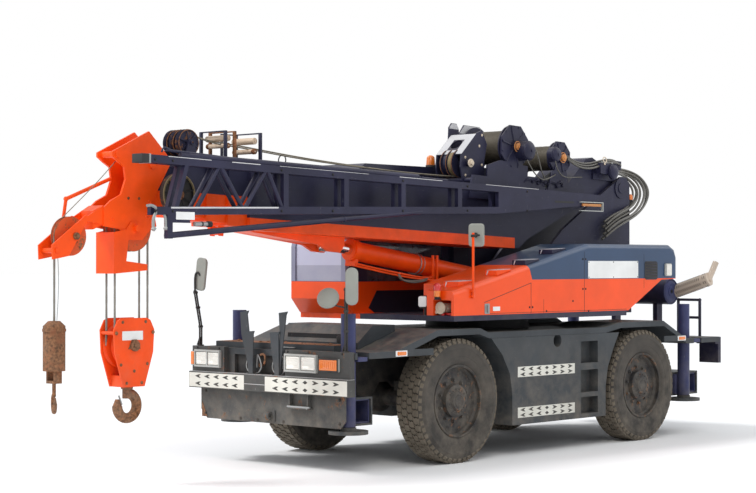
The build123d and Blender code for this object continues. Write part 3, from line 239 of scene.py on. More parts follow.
def ballPart(place, radius, flat=(1, 1, 1), segments=16):
    clearPick()
    bpy.ops.mesh.primitive_uv_sphere_add(segments=segments, ring_count=segments // 2,
                                         radius=radius, location=place, scale=flat)
    obj = bpy.context.active_object
    settle(obj)
    return obj


def ringPart(place, facing, radius, wire, around=28, about=8):
    clearPick()
    turn = Vector(facing).to_track_quat("Z", "Y").to_euler()
    bpy.ops.mesh.primitive_torus_add(location=place, rotation=turn, major_radius=radius,
                                     minor_radius=wire, major_segments=around,
                                     minor_segments=about)
    obj = bpy.context.active_object
    settle(obj)
    return obj


def tubePart(points, radius, sides=3, order=3, name="tube"):
    curve = bpy.data.curves.new(name, "CURVE")
    curve.dimensions = "3D"
    line = curve.splines.new("NURBS")
    line.points.add(len(points) - 1)
    for spot, point in zip(line.points, points):
        spot.co = (*point, 1)
    line.order_u = order
    line.use_endpoint_u = True
    line.resolution_u = 8
    curve.bevel_depth = radius
    curve.bevel_resolution = sides
    curve.use_fill_caps = True
    obj = bpy.data.objects.new(name, curve)
    bpy.context.collection.objects.link(obj)
    pick(obj)
    bpy.ops.object.convert(target="MESH")
    return bpy.context.active_object


def platePart(outline, thick, facing, bevel=0.002):
    # outline is a list of points round a flat plate, facing is the way its thickness grows
    obj = newPart("plate", [Vector(point) for point in outline], [],
                  [list(range(len(outline)))])
    editAll(obj)
    push = Vector(facing).normalized() * thick
    bpy.ops.mesh.extrude_region_move(TRANSFORM_OT_translate={"value": push})
    bpy.ops.mesh.select_all(action="SELECT")
    bpy.ops.mesh.normals_make_consistent(inside=False)
    endEdit()
    if bevel:
        applyBevel(obj, bevel, 1)
    return obj


def copyPart(obj, move=None, turn=None):
    twin = obj.copy()
    twin.data = obj.data.copy()
    bpy.context.collection.objects.link(twin)
    place = Matrix.Identity(4)
    if turn is not None:
        centre, angle, axis = turn
        place = (Matrix.Translation(centre) @ Matrix.Rotation(angle, 4, axis)
                 @ Matrix.Translation(-Vector(centre)))
    if move is not None:
        place = Matrix.Translation(move) @ place
    twin.matrix_world = place
    settle(twin)
    return twin


# shared shader groups

def wire(tree, node, wires):
    for key, value in wires.items():
        socket = node.inputs[key]
        if isinstance(value, bpy.types.NodeSocket):
            tree.links.new(value, socket)
        else:
            socket.default_value = value


def put(tree, kind, wires=None, **settings):
    node = tree.nodes.new(kind)
    for key, value in settings.items():
        setattr(node, key, value)
    wire(tree, node, wires or {})
    return node


def maths(tree, operation, first, second, clamp=False):
    return put(tree, "ShaderNodeMath", {0: first, 1: second}, operation=operation,
               use_clamp=clamp).outputs[0]


def allOf(tree, masks):
    total = masks[0]
    for mask in masks[1:]:
        total = maths(tree, "MULTIPLY", total, mask)
    return total


def anyOf(tree, masks):
    total = masks[0]
    for mask in masks[1:]:
        total = maths(tree, "MAXIMUM", total, mask)
    return total


def newGroup(name, inputs, outputs):
    group = bpy.data.node_groups.new(name, "ShaderNodeTree")
    kinds = {"value": "NodeSocketFloat", "vector": "NodeSocketVector",
             "colour": "NodeSocketColor"}
    for label, kind, value in inputs:
        socket = group.interface.new_socket(label, in_out="INPUT", socket_type=kinds[kind])
        socket.default_value = value
    for label, kind in outputs:
        group.interface.new_socket(label, in_out="OUTPUT", socket_type=kinds[kind])
    return group, group.nodes.new("NodeGroupInput"), group.nodes.new("NodeGroupOutput")


def makeDustGroup():
    group, start, end = newGroup("settledDust", [("Scale", "value", 6.0),
                                                 ("Low", "value", 0.1),
                                                 ("High", "value", 1.3),
                                                 ("Amount", "value", 0.5)], [("Mask", "value")])
    place = put(group, "ShaderNodeTexCoord").outputs["Object"]
    height = put(group, "ShaderNodeSeparateXYZ", {0: place}).outputs["Z"]
    facing = put(group, "ShaderNodeSeparateXYZ",
                 {0: put(group, "ShaderNodeNewGeometry").outputs["Normal"]}).outputs["Z"]
    low = put(group, "ShaderNodeMapRange", {"Value": height, "From Min": start.outputs["Low"],
                                            "From Max": start.outputs["High"], "To Min": 1.0,
                                            "To Max": 0.0})
    top = put(group, "ShaderNodeMapRange", {"Value": facing, "From Min": 0.35, "From Max": 0.95,
                                            "To Min": 0.0, "To Max": 0.8})
    both = maths(group, "MAXIMUM", low.outputs[0], top.outputs[0])
    cloud = put(group, "ShaderNodeTexNoise", {"Vector": place, "Scale": start.outputs["Scale"],
                                              "Detail": 8.0, "Roughness": 0.65})
    patch = put(group, "ShaderNodeMapRange", {"Value": cloud.outputs["Fac"], "From Min": 0.36,
                                              "From Max": 0.68})
    mixed = maths(group, "MULTIPLY", both, patch.outputs[0])
    wire(group, end, {"Mask": maths(group, "MULTIPLY", mixed, start.outputs["Amount"], True)})
    return group


def makeScratchGroup():
    group, start, end = newGroup("fineScratches", [("Scale", "value", 8.0),
                                                   ("Amount", "value", 0.4)],
                                 [("Mask", "value")])
    place = put(group, "ShaderNodeTexCoord").outputs["Object"]
    edges = []
    for stretch, turn in (((1.0, 9.0, 14.0), 0.5), ((16.0, 4.0, 1.2), 2.2)):
        maps = put(group, "ShaderNodeMapping", {"Vector": place, "Scale": stretch,
                                                "Rotation": (0.3 * turn, turn, 0.2)})
        line = put(group, "ShaderNodeTexNoise", {"Vector": maps.outputs[0],
                                                 "Scale": start.outputs["Scale"],
                                                 "Detail": 5.0, "Roughness": 0.7})
        edge = put(group, "ShaderNodeMapRange", {"Value": line.outputs["Fac"],
                                                 "From Min": 0.665, "From Max": 0.715})
        edges.append(edge.outputs[0])
    total = anyOf(group, edges)
    wire(group, end, {"Mask": maths(group, "MULTIPLY", total, start.outputs["Amount"], True)})
    return group


def makeGrainGroup():
    group, start, end = newGroup("paintGrain", [("Fine", "value", 260.0),
                                                ("Broad", "value", 2.4)],
                                 [("Height", "value"), ("Tone", "value")])
    place = put(group, "ShaderNodeTexCoord").outputs["Object"]
    fine = put(group, "ShaderNodeTexNoise", {"Vector": place, "Scale": start.outputs["Fine"],
                                             "Detail": 2.0})
    broad = put(group, "ShaderNodeTexNoise", {"Vector": place, "Scale": start.outputs["Broad"],
                                              "Detail": 6.0, "Roughness": 0.6})
    wire(group, end, {"Height": fine.outputs["Fac"], "Tone": broad.outputs["Fac"]})
    return group


def makeRustGroup():
    group, start, end = newGroup("rustPatches", [("Scale", "value", 7.0),
                                                 ("Cover", "value", 0.3)],
                                 [("Mask", "value"), ("Colour", "colour"), ("Height", "value")])
    place = put(group, "ShaderNodeTexCoord").outputs["Object"]
    cloud = put(group, "ShaderNodeTexNoise", {"Vector": place, "Scale": start.outputs["Scale"],
                                              "Detail": 10.0, "Roughness": 0.72})
    limit = maths(group, "SUBTRACT", 0.78, start.outputs["Cover"])
    above = maths(group, "SUBTRACT", cloud.outputs["Fac"], limit)
    spots = put(group, "ShaderNodeTexNoise", {"Vector": place, "Scale": 46.0, "Detail": 6.0})
    tones = put(group, "ShaderNodeValToRGB", {"Fac": spots.outputs["Fac"]})
    tones.color_ramp.elements[0].position = 0.3
    tones.color_ramp.elements[0].color = (0.075, 0.032, 0.016, 1)
    tones.color_ramp.elements[1].position = 0.72
    tones.color_ramp.elements[1].color = (0.33, 0.15, 0.07, 1)
    wire(group, end, {"Mask": maths(group, "MULTIPLY", above, 14.0, True),
                      "Colour": tones.outputs[0], "Height": spots.outputs["Fac"]})
    return group


def makeSideGroup():
    # one side of a flat cut through the piece, for paint that ends on a line
    group, start, end = newGroup("paintEdge", [("Facing", "vector", (0, 0, 1)),
                                               ("Distance", "value", 0.0)],
                                 [("Mask", "value")])
    place = put(group, "ShaderNodeTexCoord").outputs["Object"]
    along = put(group, "ShaderNodeVectorMath", {0: place, 1: start.outputs["Facing"]},
                operation="DOT_PRODUCT")
    past = maths(group, "SUBTRACT", along.outputs["Value"], start.outputs["Distance"])
    wire(group, end, {"Mask": maths(group, "MULTIPLY", past, 900.0, True)})
    return group


dustGroup = makeDustGroup()
scratchGroup = makeScratchGroup()
grainGroup = makeGrainGroup()
rustGroup = makeRustGroup()
sideGroup = makeSideGroup()
print("shader groups ready")


# materials

dustColour = (0.30, 0.255, 0.20, 1)


def groupNode(tree, group, **wires):
    return put(tree, "ShaderNodeGroup", wires, node_tree=group)


def blendColour(tree, mask, under, over):
    return put(tree, "ShaderNodeMix", {0: mask, 6: under, 7: over}, data_type="RGBA").outputs[2]


def side(tree, facing, distance):
    return groupNode(tree, sideGroup, Facing=facing, Distance=distance).outputs[0]


def newMaterial(name):
    material = bpy.data.materials.new(name)
    material.use_nodes = True
    tree = material.node_tree
    return material, tree, tree.nodes["Principled BSDF"]


def paintMaterial(name, colour, regions=(), roughness=0.42, dust=0.35, dustHigh=1.3,
                  scratches=0.3, scratchColour=(0.42, 0.40, 0.38, 1), rust=0.12, rustScale=5.0,
                  metallic=0.0, coat=0.03, tone=0.16, grain=0.02, shine=0.22):
    material, tree, shader = newMaterial(name)
    texture = groupNode(tree, grainGroup)
    base = (*colour, 1)
    for region, other in regions:
        base = blendColour(tree, region(tree), base, (*other, 1))
    shade = put(tree, "ShaderNodeMapRange", {"Value": texture.outputs["Tone"], "From Min": 0.3,
                                             "From Max": 0.7, "To Min": 1 - tone,
                                             "To Max": 1 + tone})
    toned = put(tree, "ShaderNodeVectorMath",
                {0: base if regions else colour, "Scale": shade.outputs[0]}, operation="SCALE")
    worn = groupNode(tree, scratchGroup, Amount=scratches).outputs[0]
    rusty = groupNode(tree, rustGroup, Cover=rust, Scale=rustScale)
    dusty = groupNode(tree, dustGroup, Amount=dust, High=dustHigh).outputs[0]
    result = blendColour(tree, worn, toned.outputs[0], scratchColour)
    result = blendColour(tree, rusty.outputs["Mask"], result, rusty.outputs["Colour"])
    result = blendColour(tree, dusty, result, dustColour)
    dull = anyOf(tree, [dusty, rusty.outputs["Mask"]])
    rough = put(tree, "ShaderNodeMapRange", {"Value": dull, "To Min": roughness, "To Max": 0.88})
    bump = put(tree, "ShaderNodeBump", {"Height": texture.outputs["Height"], "Distance": 0.001,
                                        "Strength": grain * 10})
    chipped = put(tree, "ShaderNodeBump", {"Height": dull, "Distance": 0.0012, "Strength": 0.35,
                                           "Normal": bump.outputs[0]})
    wire(tree, shader, {"Base Color": result, "Roughness": rough.outputs[0],
                        "Metallic": metallic, "Coat Weight": coat, "Specular IOR Level": shine,
                        "Normal": chipped.outputs[0]})
    return material


orange = (0.86, 0.075, 0.004)
navy = (0.020, 0.020, 0.045)
blueNavy = (0.026, 0.056, 0.118)
slate = (0.044, 0.050, 0.056)
tiltFacing = (-math.sin(boomTilt), 0.0, math.cos(boomTilt))


def boomLevel(z):
    # distance of a plane along the boom, z above its foot pin
    return Vector(tiltFacing).dot(Vector((footX, 0, footZ))) + z


orangePaint = paintMaterial("orangePaint", orange, dust=0.22, dustHigh=1.9, scratches=0.14,
                            rust=0.05)
navyPaint = paintMaterial("navyPaint", navy, scratches=0.35, rust=0.08, dust=0.3, dustHigh=2.0,
                          tone=0.25)
tubeBlue = paintMaterial("tubeBlue", (0.040, 0.046, 0.12), scratches=0.4, rust=0.1, tone=0.25)
slatePaint = paintMaterial("slatePaint", slate, dust=0.45, scratches=0.28, rust=0.1,
                           roughness=0.5, tone=0.2)
frameBlack = paintMaterial("frameBlack", (0.018, 0.018, 0.020), dust=0.5, scratches=0.2,
                           rust=0.16, roughness=0.65)
panelPaint = paintMaterial("panelPaint", (0.070, 0.070, 0.068), dust=0.62, dustHigh=0.95,
                           scratches=0.75, rust=0.2, roughness=0.6, tone=0.3)
wheelPaint = paintMaterial("wheelPaint", (0.030, 0.030, 0.032), dust=0.5, dustHigh=2.0,
                           scratches=0.5, scratchColour=(0.30, 0.26, 0.23, 1), rust=0.22,
                           rustScale=11.0, roughness=0.55)
rustyIron = paintMaterial("rustyIron", (0.17, 0.095, 0.055), dust=0.35, dustHigh=2.5,
                          scratches=0.4, rust=0.42, rustScale=9.0, roughness=0.75, coat=0.0,
                          tone=0.3, grain=0.06)
rustyBrown = paintMaterial("rustyBrown", (0.27, 0.11, 0.055), dust=0.3, dustHigh=3.0,
                           scratches=0.5, rust=0.36, rustScale=12.0, roughness=0.8, coat=0.0,
                           tone=0.35, grain=0.06)
houseOrange = paintMaterial(
    "housePaint", orange, roughness=0.3, coat=0.12, shine=0.3, dust=0.2, dustHigh=1.5,
    scratches=0.08, rust=0.0, tone=0.08,
    regions=[(lambda tree: allOf(tree, [side(tree, (0, 0, 1), 1.805),
                                        side(tree, (-0.93, 0, 0.36), -0.93 * (0.405 + slewX)
                                             + 0.36 * 1.83)]), blueNavy)])
boomPaint = paintMaterial(
    "boomPaint", navy, scratches=0.3, rust=0.06, dust=0.2, dustHigh=2.6, tone=0.22,
    regions=[(lambda tree: allOf(tree, [side(tree, tuple(-v for v in tiltFacing),
                                             -boomLevel(-0.665)),
                                        side(tree, (1, 0, 0), -0.25 + slewX)]), orange)])
sectionPaint = paintMaterial(
    "sectionPaint", navy, scratches=0.25, rust=0.08, dust=0.1, tone=0.2,
    regions=[(lambda tree: side(tree, tuple(-v for v in tiltFacing), -boomLevel(-0.47)),
              orange)])
sheavePaint = paintMaterial(
    "sheavePaint", (0.62, 0.085, 0.018), scratches=0.5, rust=0.24, rustScale=10.0, dust=0.2,
    dustHigh=3.5, roughness=0.55, coat=0.0,
    regions=[(lambda tree: side(tree, (-0.745, 0, 0.667), -0.745 * (4.785 + slewX)
                                + 0.667 * 2.425), (0.026, 0.025, 0.024)),
             (lambda tree: side(tree, (0, 0, 1), 2.93), navy)])
cabPaint = paintMaterial(
    "cabPaint", navy, roughness=0.3, coat=0.12, shine=0.3, dust=0.18, dustHigh=1.7, scratches=0.1,
    rust=0.0, tone=0.1,
    regions=[(lambda tree: side(tree, (0, 0, -1), -1.785), orange),
             (lambda tree: allOf(tree, [side(tree, (0, 0, -1), -1.690),
                                        side(tree, (-0.820, 0, -0.573), -0.820 * (1.439 + slewX)
                                             - 0.573 * 1.509),
                                        side(tree, (-0.503, 0, 0.864), -0.503 * (1.439 + slewX)
                                             + 0.864 * 1.509)]), (0.014, 0.015, 0.030)),
             (lambda tree: allOf(tree, [side(tree, (0, 0, 1), 1.787),
                                        side(tree, (1, 0, 0), 1.735 + slewX),
                                        side(tree, (0, 0, -1), -2.75)]), (0.24, 0.24, 0.33))])
skirtPaint = paintMaterial(
    "skirtPaint", navy, scratches=0.35, rust=0.08, dust=0.3, dustHigh=2.0, tone=0.25,
    regions=[(lambda tree: allOf(tree, [side(tree, (0, 0, 1), 1.385), side(tree, (0, -1, 0), 0.2),
                                        side(tree, (1, 0, 0), 1.255 + slewX)]), orange)])
pipePaint = paintMaterial(
    "pipePaint", (0.024, 0.024, 0.062), scratches=0.3, rust=0.06, dust=0.25, dustHigh=2.2,
    regions=[(lambda tree: anyOf(tree, [side(tree, (0, 1, 0), 0.5925),
                                        side(tree, (-1, 0, 0), 3.0635 - slewX)]),
              (0.50, 0.41, 0.33))])
deckPaint = paintMaterial("deckPaint", slate, dust=0.55, dustHigh=1.2, scratches=0.3, rust=0.09,
                          roughness=0.55, tone=0.25)


def chromeMaterial():
    material, tree, shader = newMaterial("hardChrome")
    smear = groupNode(tree, scratchGroup, Amount=0.5, Scale=14.0).outputs[0]
    dusty = groupNode(tree, dustGroup, Amount=0.25, High=3.0).outputs[0]
    colour = blendColour(tree, anyOf(tree, [smear, dusty]), (0.80, 0.80, 0.82, 1),
                         (0.42, 0.38, 0.33, 1))
    rough = put(tree, "ShaderNodeMapRange", {"Value": dusty, "To Min": 0.12, "To Max": 0.55})
    wire(tree, shader, {"Base Color": colour, "Metallic": 1.0, "Roughness": rough.outputs[0]})
    return material


def plainMaterial(name, colour, roughness=0.5, metallic=0.0, dirt=0.25, bumpScale=120.0,
                  bump=0.2, dustHigh=2.5, coat=0.0):
    material, tree, shader = newMaterial(name)
    texture = groupNode(tree, grainGroup, Fine=bumpScale)
    dusty = groupNode(tree, dustGroup, Amount=dirt, High=dustHigh).outputs[0]
    light = blendColour(tree, texture.outputs["Tone"],
                        tuple(v * 0.72 for v in colour) + (1,),
                        tuple(min(v * 1.25, 1.0) for v in colour) + (1,))
    rough = put(tree, "ShaderNodeMapRange", {"Value": dusty, "To Min": roughness,
                                             "To Max": min(roughness + 0.4, 0.95)})
    lift = put(tree, "ShaderNodeBump", {"Height": texture.outputs["Height"], "Distance": 0.001,
                                        "Strength": bump})
    wire(tree, shader, {"Base Color": blendColour(tree, dusty, light, dustColour),
                        "Roughness": rough.outputs[0], "Metallic": metallic,
                        "Coat Weight": coat, "Normal": lift.outputs[0]})
    return material


def glassMaterial(name, colour, alpha, roughness=0.05):
    # tinted panes: a film of dust over a see-through tint, paler above as a painted reflection,
    # dark at the side
    material, tree, shader = newMaterial(name)
    film = groupNode(tree, dustGroup, Amount=0.35, High=4.0, Scale=3.0).outputs[0]
    # the pane above z 1.955 made paler: a painted reflection
    high = blendColour(tree, side(tree, (0, 0, 1), 1.955), (*colour, 1),
                       tuple(min(v * 1.45, 1.0) for v in colour) + (1,))
    dark = blendColour(tree, side(tree, (-1, 0, 0), -1.745 - slewX), high,
                       (0.022, 0.023, 0.045, 1))
    clear = put(tree, "ShaderNodeMapRange", {"Value": film, "To Min": alpha,
                                             "To Max": min(alpha + 0.25, 1.0)})
    wire(tree, shader, {"Base Color": blendColour(tree, film, dark, (0.62, 0.60, 0.60, 1)),
                        "Alpha": clear.outputs[0], "Roughness": roughness, "Coat Weight": 0.3})
    return material


hardChrome = chromeMaterial()
hoseRubber = plainMaterial("hoseRubber", (0.032, 0.030, 0.027), 0.45, dirt=0.4, dustHigh=4.0)
tyreRubber = plainMaterial("tyreRubber", (0.038, 0.034, 0.030), 0.85, dirt=0.42, dustHigh=1.4,
                           bumpScale=180.0, bump=0.35)
treadRubber = plainMaterial("treadRubber", (0.115, 0.095, 0.070), 0.92, dirt=0.45, dustHigh=1.5,
                            bumpScale=90.0, bump=0.5)
matBlack = plainMaterial("matBlack", (0.015, 0.015, 0.016), 0.7, dirt=0.2)
seatCloth = plainMaterial("seatCloth", (0.05, 0.05, 0.055), 0.9, dirt=0.1, bumpScale=420.0,
                          bump=0.6)
mirrorBack = plainMaterial("mirrorBack", (0.27, 0.28, 0.25), 0.55, dirt=0.35)
blankWhite = plainMaterial("blankWhite", (0.78, 0.79, 0.78), 0.35, dirt=0.1, coat=0.2)
lensAmber = plainMaterial("lensAmber", (0.85, 0.20, 0.02), 0.18, dirt=0.12, bumpScale=60.0,
                          coat=0.4)
lensRed = plainMaterial("lensRed", (0.62, 0.02, 0.02), 0.15, dirt=0.1, coat=0.4)
lensClear = plainMaterial("lensClear", (0.78, 0.76, 0.70), 0.12, metallic=0.35, dirt=0.12,
                          bumpScale=70.0, bump=0.6, coat=0.5)
bezelGrey = plainMaterial("bezelGrey", (0.42, 0.43, 0.41), 0.4, dirt=0.3, coat=0.1)
hornBeige = plainMaterial("hornBeige", (0.62, 0.52, 0.40), 0.45, dirt=0.2)
tapeWhite = plainMaterial("tapeWhite", (0.70, 0.69, 0.62), 0.4, dirt=0.3, dustHigh=1.2)
tapeBlack = plainMaterial("tapeBlack", (0.020, 0.020, 0.018), 0.45, dirt=0.25)
paleWood = plainMaterial("paleRoller", (0.62, 0.47, 0.34), 0.5, dirt=0.3, dustHigh=4.0)
ropeSteel = plainMaterial("ropeSteel", (0.20, 0.175, 0.13), 0.5, metallic=0.5, dirt=0.3,
                          dustHigh=4.0, bumpScale=500.0, bump=0.7)
fallSteel = plainMaterial("fallSteel", (0.21, 0.20, 0.175), 0.55, metallic=0.1, dirt=0.35,
                          dustHigh=4.0, bumpScale=500.0, bump=0.7)
wornEdge = plainMaterial("wornEdge", (0.50, 0.50, 0.50), 0.35, metallic=0.4, dirt=0.2)
hubOrange = plainMaterial("hubOrange", (0.55, 0.22, 0.06), 0.5, dirt=0.3, dustHigh=4.0)
greyFitting = plainMaterial("greyFitting", (0.30, 0.31, 0.31), 0.4, metallic=0.4, dirt=0.3)
# pale gloss for the hatch tops and slivers: a painted highlight
highlightGloss = plainMaterial("highlightGloss", (0.66, 0.64, 0.68), 0.25, dirt=0.25, dustHigh=1.4,
                          coat=0.3)
# pale for lit tops and edges on the boom and jib: a painted highlight
paleHighlight = plainMaterial("paleHighlight", (0.56, 0.56, 0.58), 0.45, dirt=0.35, dustHigh=4.0,
                         bumpScale=60.0)
ropeDark = plainMaterial("ropeDark", (0.070, 0.058, 0.040), 0.5, metallic=0.3, dirt=0.15,
                         dustHigh=4.5, bumpScale=300.0, bump=0.6)
hoseGrey = plainMaterial("hoseGrey", (0.085, 0.080, 0.068), 0.4, dirt=0.3, dustHigh=4.0)
ropeYellow = plainMaterial("ropeYellow", (0.24, 0.18, 0.085), 0.55, metallic=0.25, dirt=0.3,
                           dustHigh=4.5, bumpScale=300.0, bump=0.6)
paneTint = glassMaterial("paneTint", (0.36, 0.36, 0.47), 0.88)
paneClear = glassMaterial("paneClear", (0.55, 0.56, 0.66), 0.5)
print("materials ready")


# the solids take their finishes

def dress(material, *names):
    for name in names:
        obj = nodes[name]
        if not obj.material_slots:
            obj.data.materials.append(material)
        for slotShade in obj.material_slots:
            slotShade.link = "OBJECT"
            slotShade.material = material


corners = ["front_left", "front_right", "rear_left", "rear_right"]
for corner in corners:
    dress(wheelPaint, "rim_" + corner)
    dress(frameBlack, "knuckle_" + corner)
    dress(tubeBlue, "outrigger_beam_" + corner)
    dress(slatePaint, "outrigger_jack_" + corner)
dress(frameBlack, "chassis_frame", "axles", "engine_block")
dress(deckPaint, "carrier_deck", "deck_covers")
dress(slatePaint, "side_boxes", "outrigger_boxes", "hook_holder")
dress(panelPaint, "front_bumper")
dress(skirtPaint, "turntable")
dress(navyPaint, "counterweight", "oil_tank", "winch_frame", "main_winch_drum",
      "aux_winch_drum", "jib", "rear_guard")
dress(pipePaint, "exhaust")
dress(orangePaint, "luff_barrel", "boom_head", "main_hook_block")
dress(houseOrange, "power_house")
dress(boomPaint, "boom_base")
dress(sectionPaint, "boom_section_2", "boom_section_3", "boom_tip")
dress(cabPaint, "cab_shell", "cab_door")
dress(paneTint, "cab_glass")
dress(paneClear, "cab_door_glass")
dress(seatCloth, "cab_fittings")
dress(hardChrome, "luff_rod")
dress(sheavePaint, "head_sheaves")
dress(rustyIron, "main_hook", "aux_hook")
dress(rustyBrown, "aux_hook_weight")
dress(hoseRubber, "boom_hoses")
dress(matBlack, "carrier_mirrors", "upper_fittings")
dress(bezelGrey, "headlamps")
print("solids dressed")

# tyres with their tread, in place of the smooth ones

tyreSettings = {"pitches": 50, "treadBase": 0.600, "treadTop": 0.6132, "columns": 4,
                "columnWidth": 0.060, "blockLength": 0.060, "skew": 0.016, "steps": 100}


def tyreProfile():
    side = [(0.1285, 0.362), (0.1500, 0.385), (0.1565, 0.412), (0.1580, 0.440), (0.1600, 0.443),
            (0.1612, 0.470), (0.1625, 0.490), (0.1615, 0.520), (0.1635, 0.524), (0.1630, 0.532),
            (0.1600, 0.540), (0.1570, 0.562), (0.1430, 0.588), (0.1300, 0.598)]
    points = [(y, r) for y, r in side] + [(0.0, 0.6015)]
    points += [(-y, r) for y, r in reversed(side)]
    return points


def chevronBlock(column, shift):
    s = tyreSettings
    y0 = (column - (s["columns"] - 1) / 2) * (s["columnWidth"] + 0.007)
    w, l, k = s["columnWidth"] / 2, s["blockLength"] / 2, s["skew"]
    outline = [(-l, -w), (-l + k, -w * 0.2), (-l + k * 0.4, w * 0.3), (-l + k, w), (l + k, w),
               (l + k * 0.4, w * 0.3), (l + k, -w * 0.2), (l, -w)]
    flat = [(u + shift, y0 + v, s["treadBase"] - 0.004) for u, v in outline]
    block = platePart(flat, s["treadTop"] - s["treadBase"] + 0.004, (0, 0, 1), 0)
    pickFaces(block, lambda place, facing: facing.z > 0.9)
    bpy.ops.mesh.inset(thickness=0.004, depth=0.0)
    bpy.ops.transform.translate(value=(0, 0, 0.0004))
    endEdit()
    return block


def buildTyre():
    s = tyreSettings
    points = [Vector((0, y, r)) for y, r in tyreProfile()]
    carcass = newPart("carcass", points, [(i, i + 1) for i in range(len(points) - 1)], [])
    editAll(carcass)
    bpy.ops.mesh.spin(steps=s["steps"], angle=math.tau, center=(0, 0, 0), axis=(0, 1, 0))
    closeUp(0.0001)
    pitch = math.tau * s["treadTop"] / s["pitches"]
    parts = [chevronBlock(column, pitch * 0.5 * (column % 2)) for column in range(s["columns"])]
    for sideY in (-1, 1):
        shoulder = platePart([(-0.021, sideY * 0.130, 0.586), (0.024, sideY * 0.130, 0.586),
                              (0.024, sideY * 0.150, 0.560), (-0.021, sideY * 0.150, 0.560)],
                             0.020, (0, sideY * 0.55, 0.83), 0.002)
        parts.append(shoulder)
    tread = joinAll(parts)
    editAll(tread)
    bpy.ops.mesh.spin(steps=s["pitches"], dupli=True, angle=math.tau, center=(0, 0, 0),
                      axis=(0, 1, 0))
    closeUp(0.0002)
    carcass.data.materials.append(tyreRubber)
    tread.data.materials.append(treadRubber)
    return joinAll([carcass, tread])


rimSettings = {"nuts": 10, "nutCircle": 0.205, "capBolts": 16, "capCircle": 0.119,
               "holes": 10, "holeCircle": 0.285}


def buildRimParts():
    s = rimSettings
    parts = []
    for count, circle, depth, size, tall in ((s["nuts"], s["nutCircle"], 0.067, 0.015, 0.026),
                                             (s["capBolts"], s["capCircle"], 0.130, 0.008,
                                              0.008)):
        for i in range(count):
            turn = math.tau * (i + 0.5) / count
            place = (circle * math.cos(turn), depth, circle * math.sin(turn))
            parts.append(boltPart(place, (0, 1, 0), size, tall))
    for i in range(s["holes"]):
        turn = math.tau * i / s["holes"]
        place = Vector((s["holeCircle"] * math.cos(turn), 0.0682, s["holeCircle"]
                        * math.sin(turn)))
        parts.append(ringPart(place, (0, 1, 0), 0.022, 0.004, 18, 6))
    parts.append(ringPart((0, 0.1385, 0), (0, 1, 0), 0.352, 0.005, 60, 8))
    parts.append(ringPart((0, 0.1510, 0), (0, 1, 0), 0.060, 0.004, 32, 6))
    parts.append(rodPart((0.25, 0.060, 0.17), (0.262, 0.098, 0.178), 0.006, 10))
    obj = joinAll(parts)
    obj.data.materials.clear()
    obj.data.materials.append(greyFitting)
    return obj


tyre = buildTyre()
rimBits = buildRimParts()
for index, corner in enumerate(corners):
    low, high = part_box("tyre_" + corner)
    centre = (Vector(low) + Vector(high)) / 2
    turn = ((0, 0, 0), math.pi, "Z") if centre.y < 0 else ((0, 0, 0), 0.37 * index, "Y")
    piece = copyPart(tyre, centre, turn)
    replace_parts(finishPiece("tyreTread_" + corner, piece, "wheel_" + corner, None, 30),
                "tyre_" + corner)
    finishPiece("wheelNuts_" + corner, copyPart(rimBits, centre, turn), "wheel_" + corner,
                wheelPaint, 30)
for spare in (tyre, rimBits):
    bpy.data.objects.remove(spare)
print("wheels ready")

# reflecting tapes with arrowheads

tapeSettings = {"gap": 0.135, "arrow": 0.088, "tall": 0.036, "thick": 0.0012}


def arrowOutline(kind):
    a, h = tapeSettings["arrow"] / 2, tapeSettings["tall"] / 2
    if kind == 0:
        return [(-a * 0.75, 0), (0, h), (a * 0.75, 0), (0, -h)]
    outline = [(a, 0), (-a * 0.35, h), (-a, h), (-a * 0.35, 0), (-a, -h), (-a * 0.35, -h)]
    return [(kind * u, v) for u, v in outline]


def buildTape(name, corner, along, up, out, length, tall, rows, middle, body):
    corner, along, up, out = Vector(corner), Vector(along), Vector(up), Vector(out)
    backing = platePart([corner, corner + along * length, corner + along * length + up * tall,
                         corner + up * tall], tapeSettings["thick"], out, 0)
    backing.data.materials.append(tapeWhite)
    finishPiece(name, backing, body, None)
    arrows = []
    count = int((length - 0.02) / tapeSettings["gap"])
    start = (length - (count - 1) * tapeSettings["gap"]) / 2
    for row in rows:
        for i in range(count):
            kind = 0 if i == middle else (1 if i > middle else -1)
            place = (corner + along * (start + i * tapeSettings["gap"]) + up * (tall * row)
                     + out * tapeSettings["thick"])
            flat = [place + along * u + up * v for u, v in arrowOutline(kind)]
            arrows.append(platePart(flat, tapeSettings["thick"] * 0.6, out, 0))
    finishPiece(name + "Arrows", arrows, body, tapeBlack)


bumperLow = 0.744
buildTape("bumperTapeLeft", at(3.2002, 0.0, bumperLow), (0, 1, 0), (0, 0, 1), (1, 0, 0), 1.095,
          0.140, (0.24, 0.76), 3, "carrier")
buildTape("bumperTapeRight", at(3.2002, -1.095, bumperLow), (0, 1, 0), (0, 0, 1), (1, 0, 0),
          0.80, 0.140, (0.24, 0.76), 6, "carrier")
for height, number in ((0.807, "Upper"), (0.390, "Lower")):
    buildTape("sideTape" + number + "Left", at(-0.30, 1.1002, height), (1, 0, 0), (0, 0, 1),
              (0, 1, 0), 0.975, 0.106, (0.25, 0.75), 3, "carrier")
    buildTape("sideTape" + number + "Right", at(0.675, -1.1002, height), (-1, 0, 0), (0, 0, 1),
              (0, -1, 0), 0.975, 0.106, (0.25, 0.75), 3, "carrier")
print("tapes ready")

# headlamps, turn lamps and side markers of the carrier

lampSettings = {"face": 3.1553, "low": 0.941, "high": 1.114,
                "bezels": ((-1.045, -0.670), (0.242, 0.672)),
                "markers": ((1.1005, 2.46), (1.1005, -2.35), (-1.1005, 2.46), (-1.1005, -2.35))}


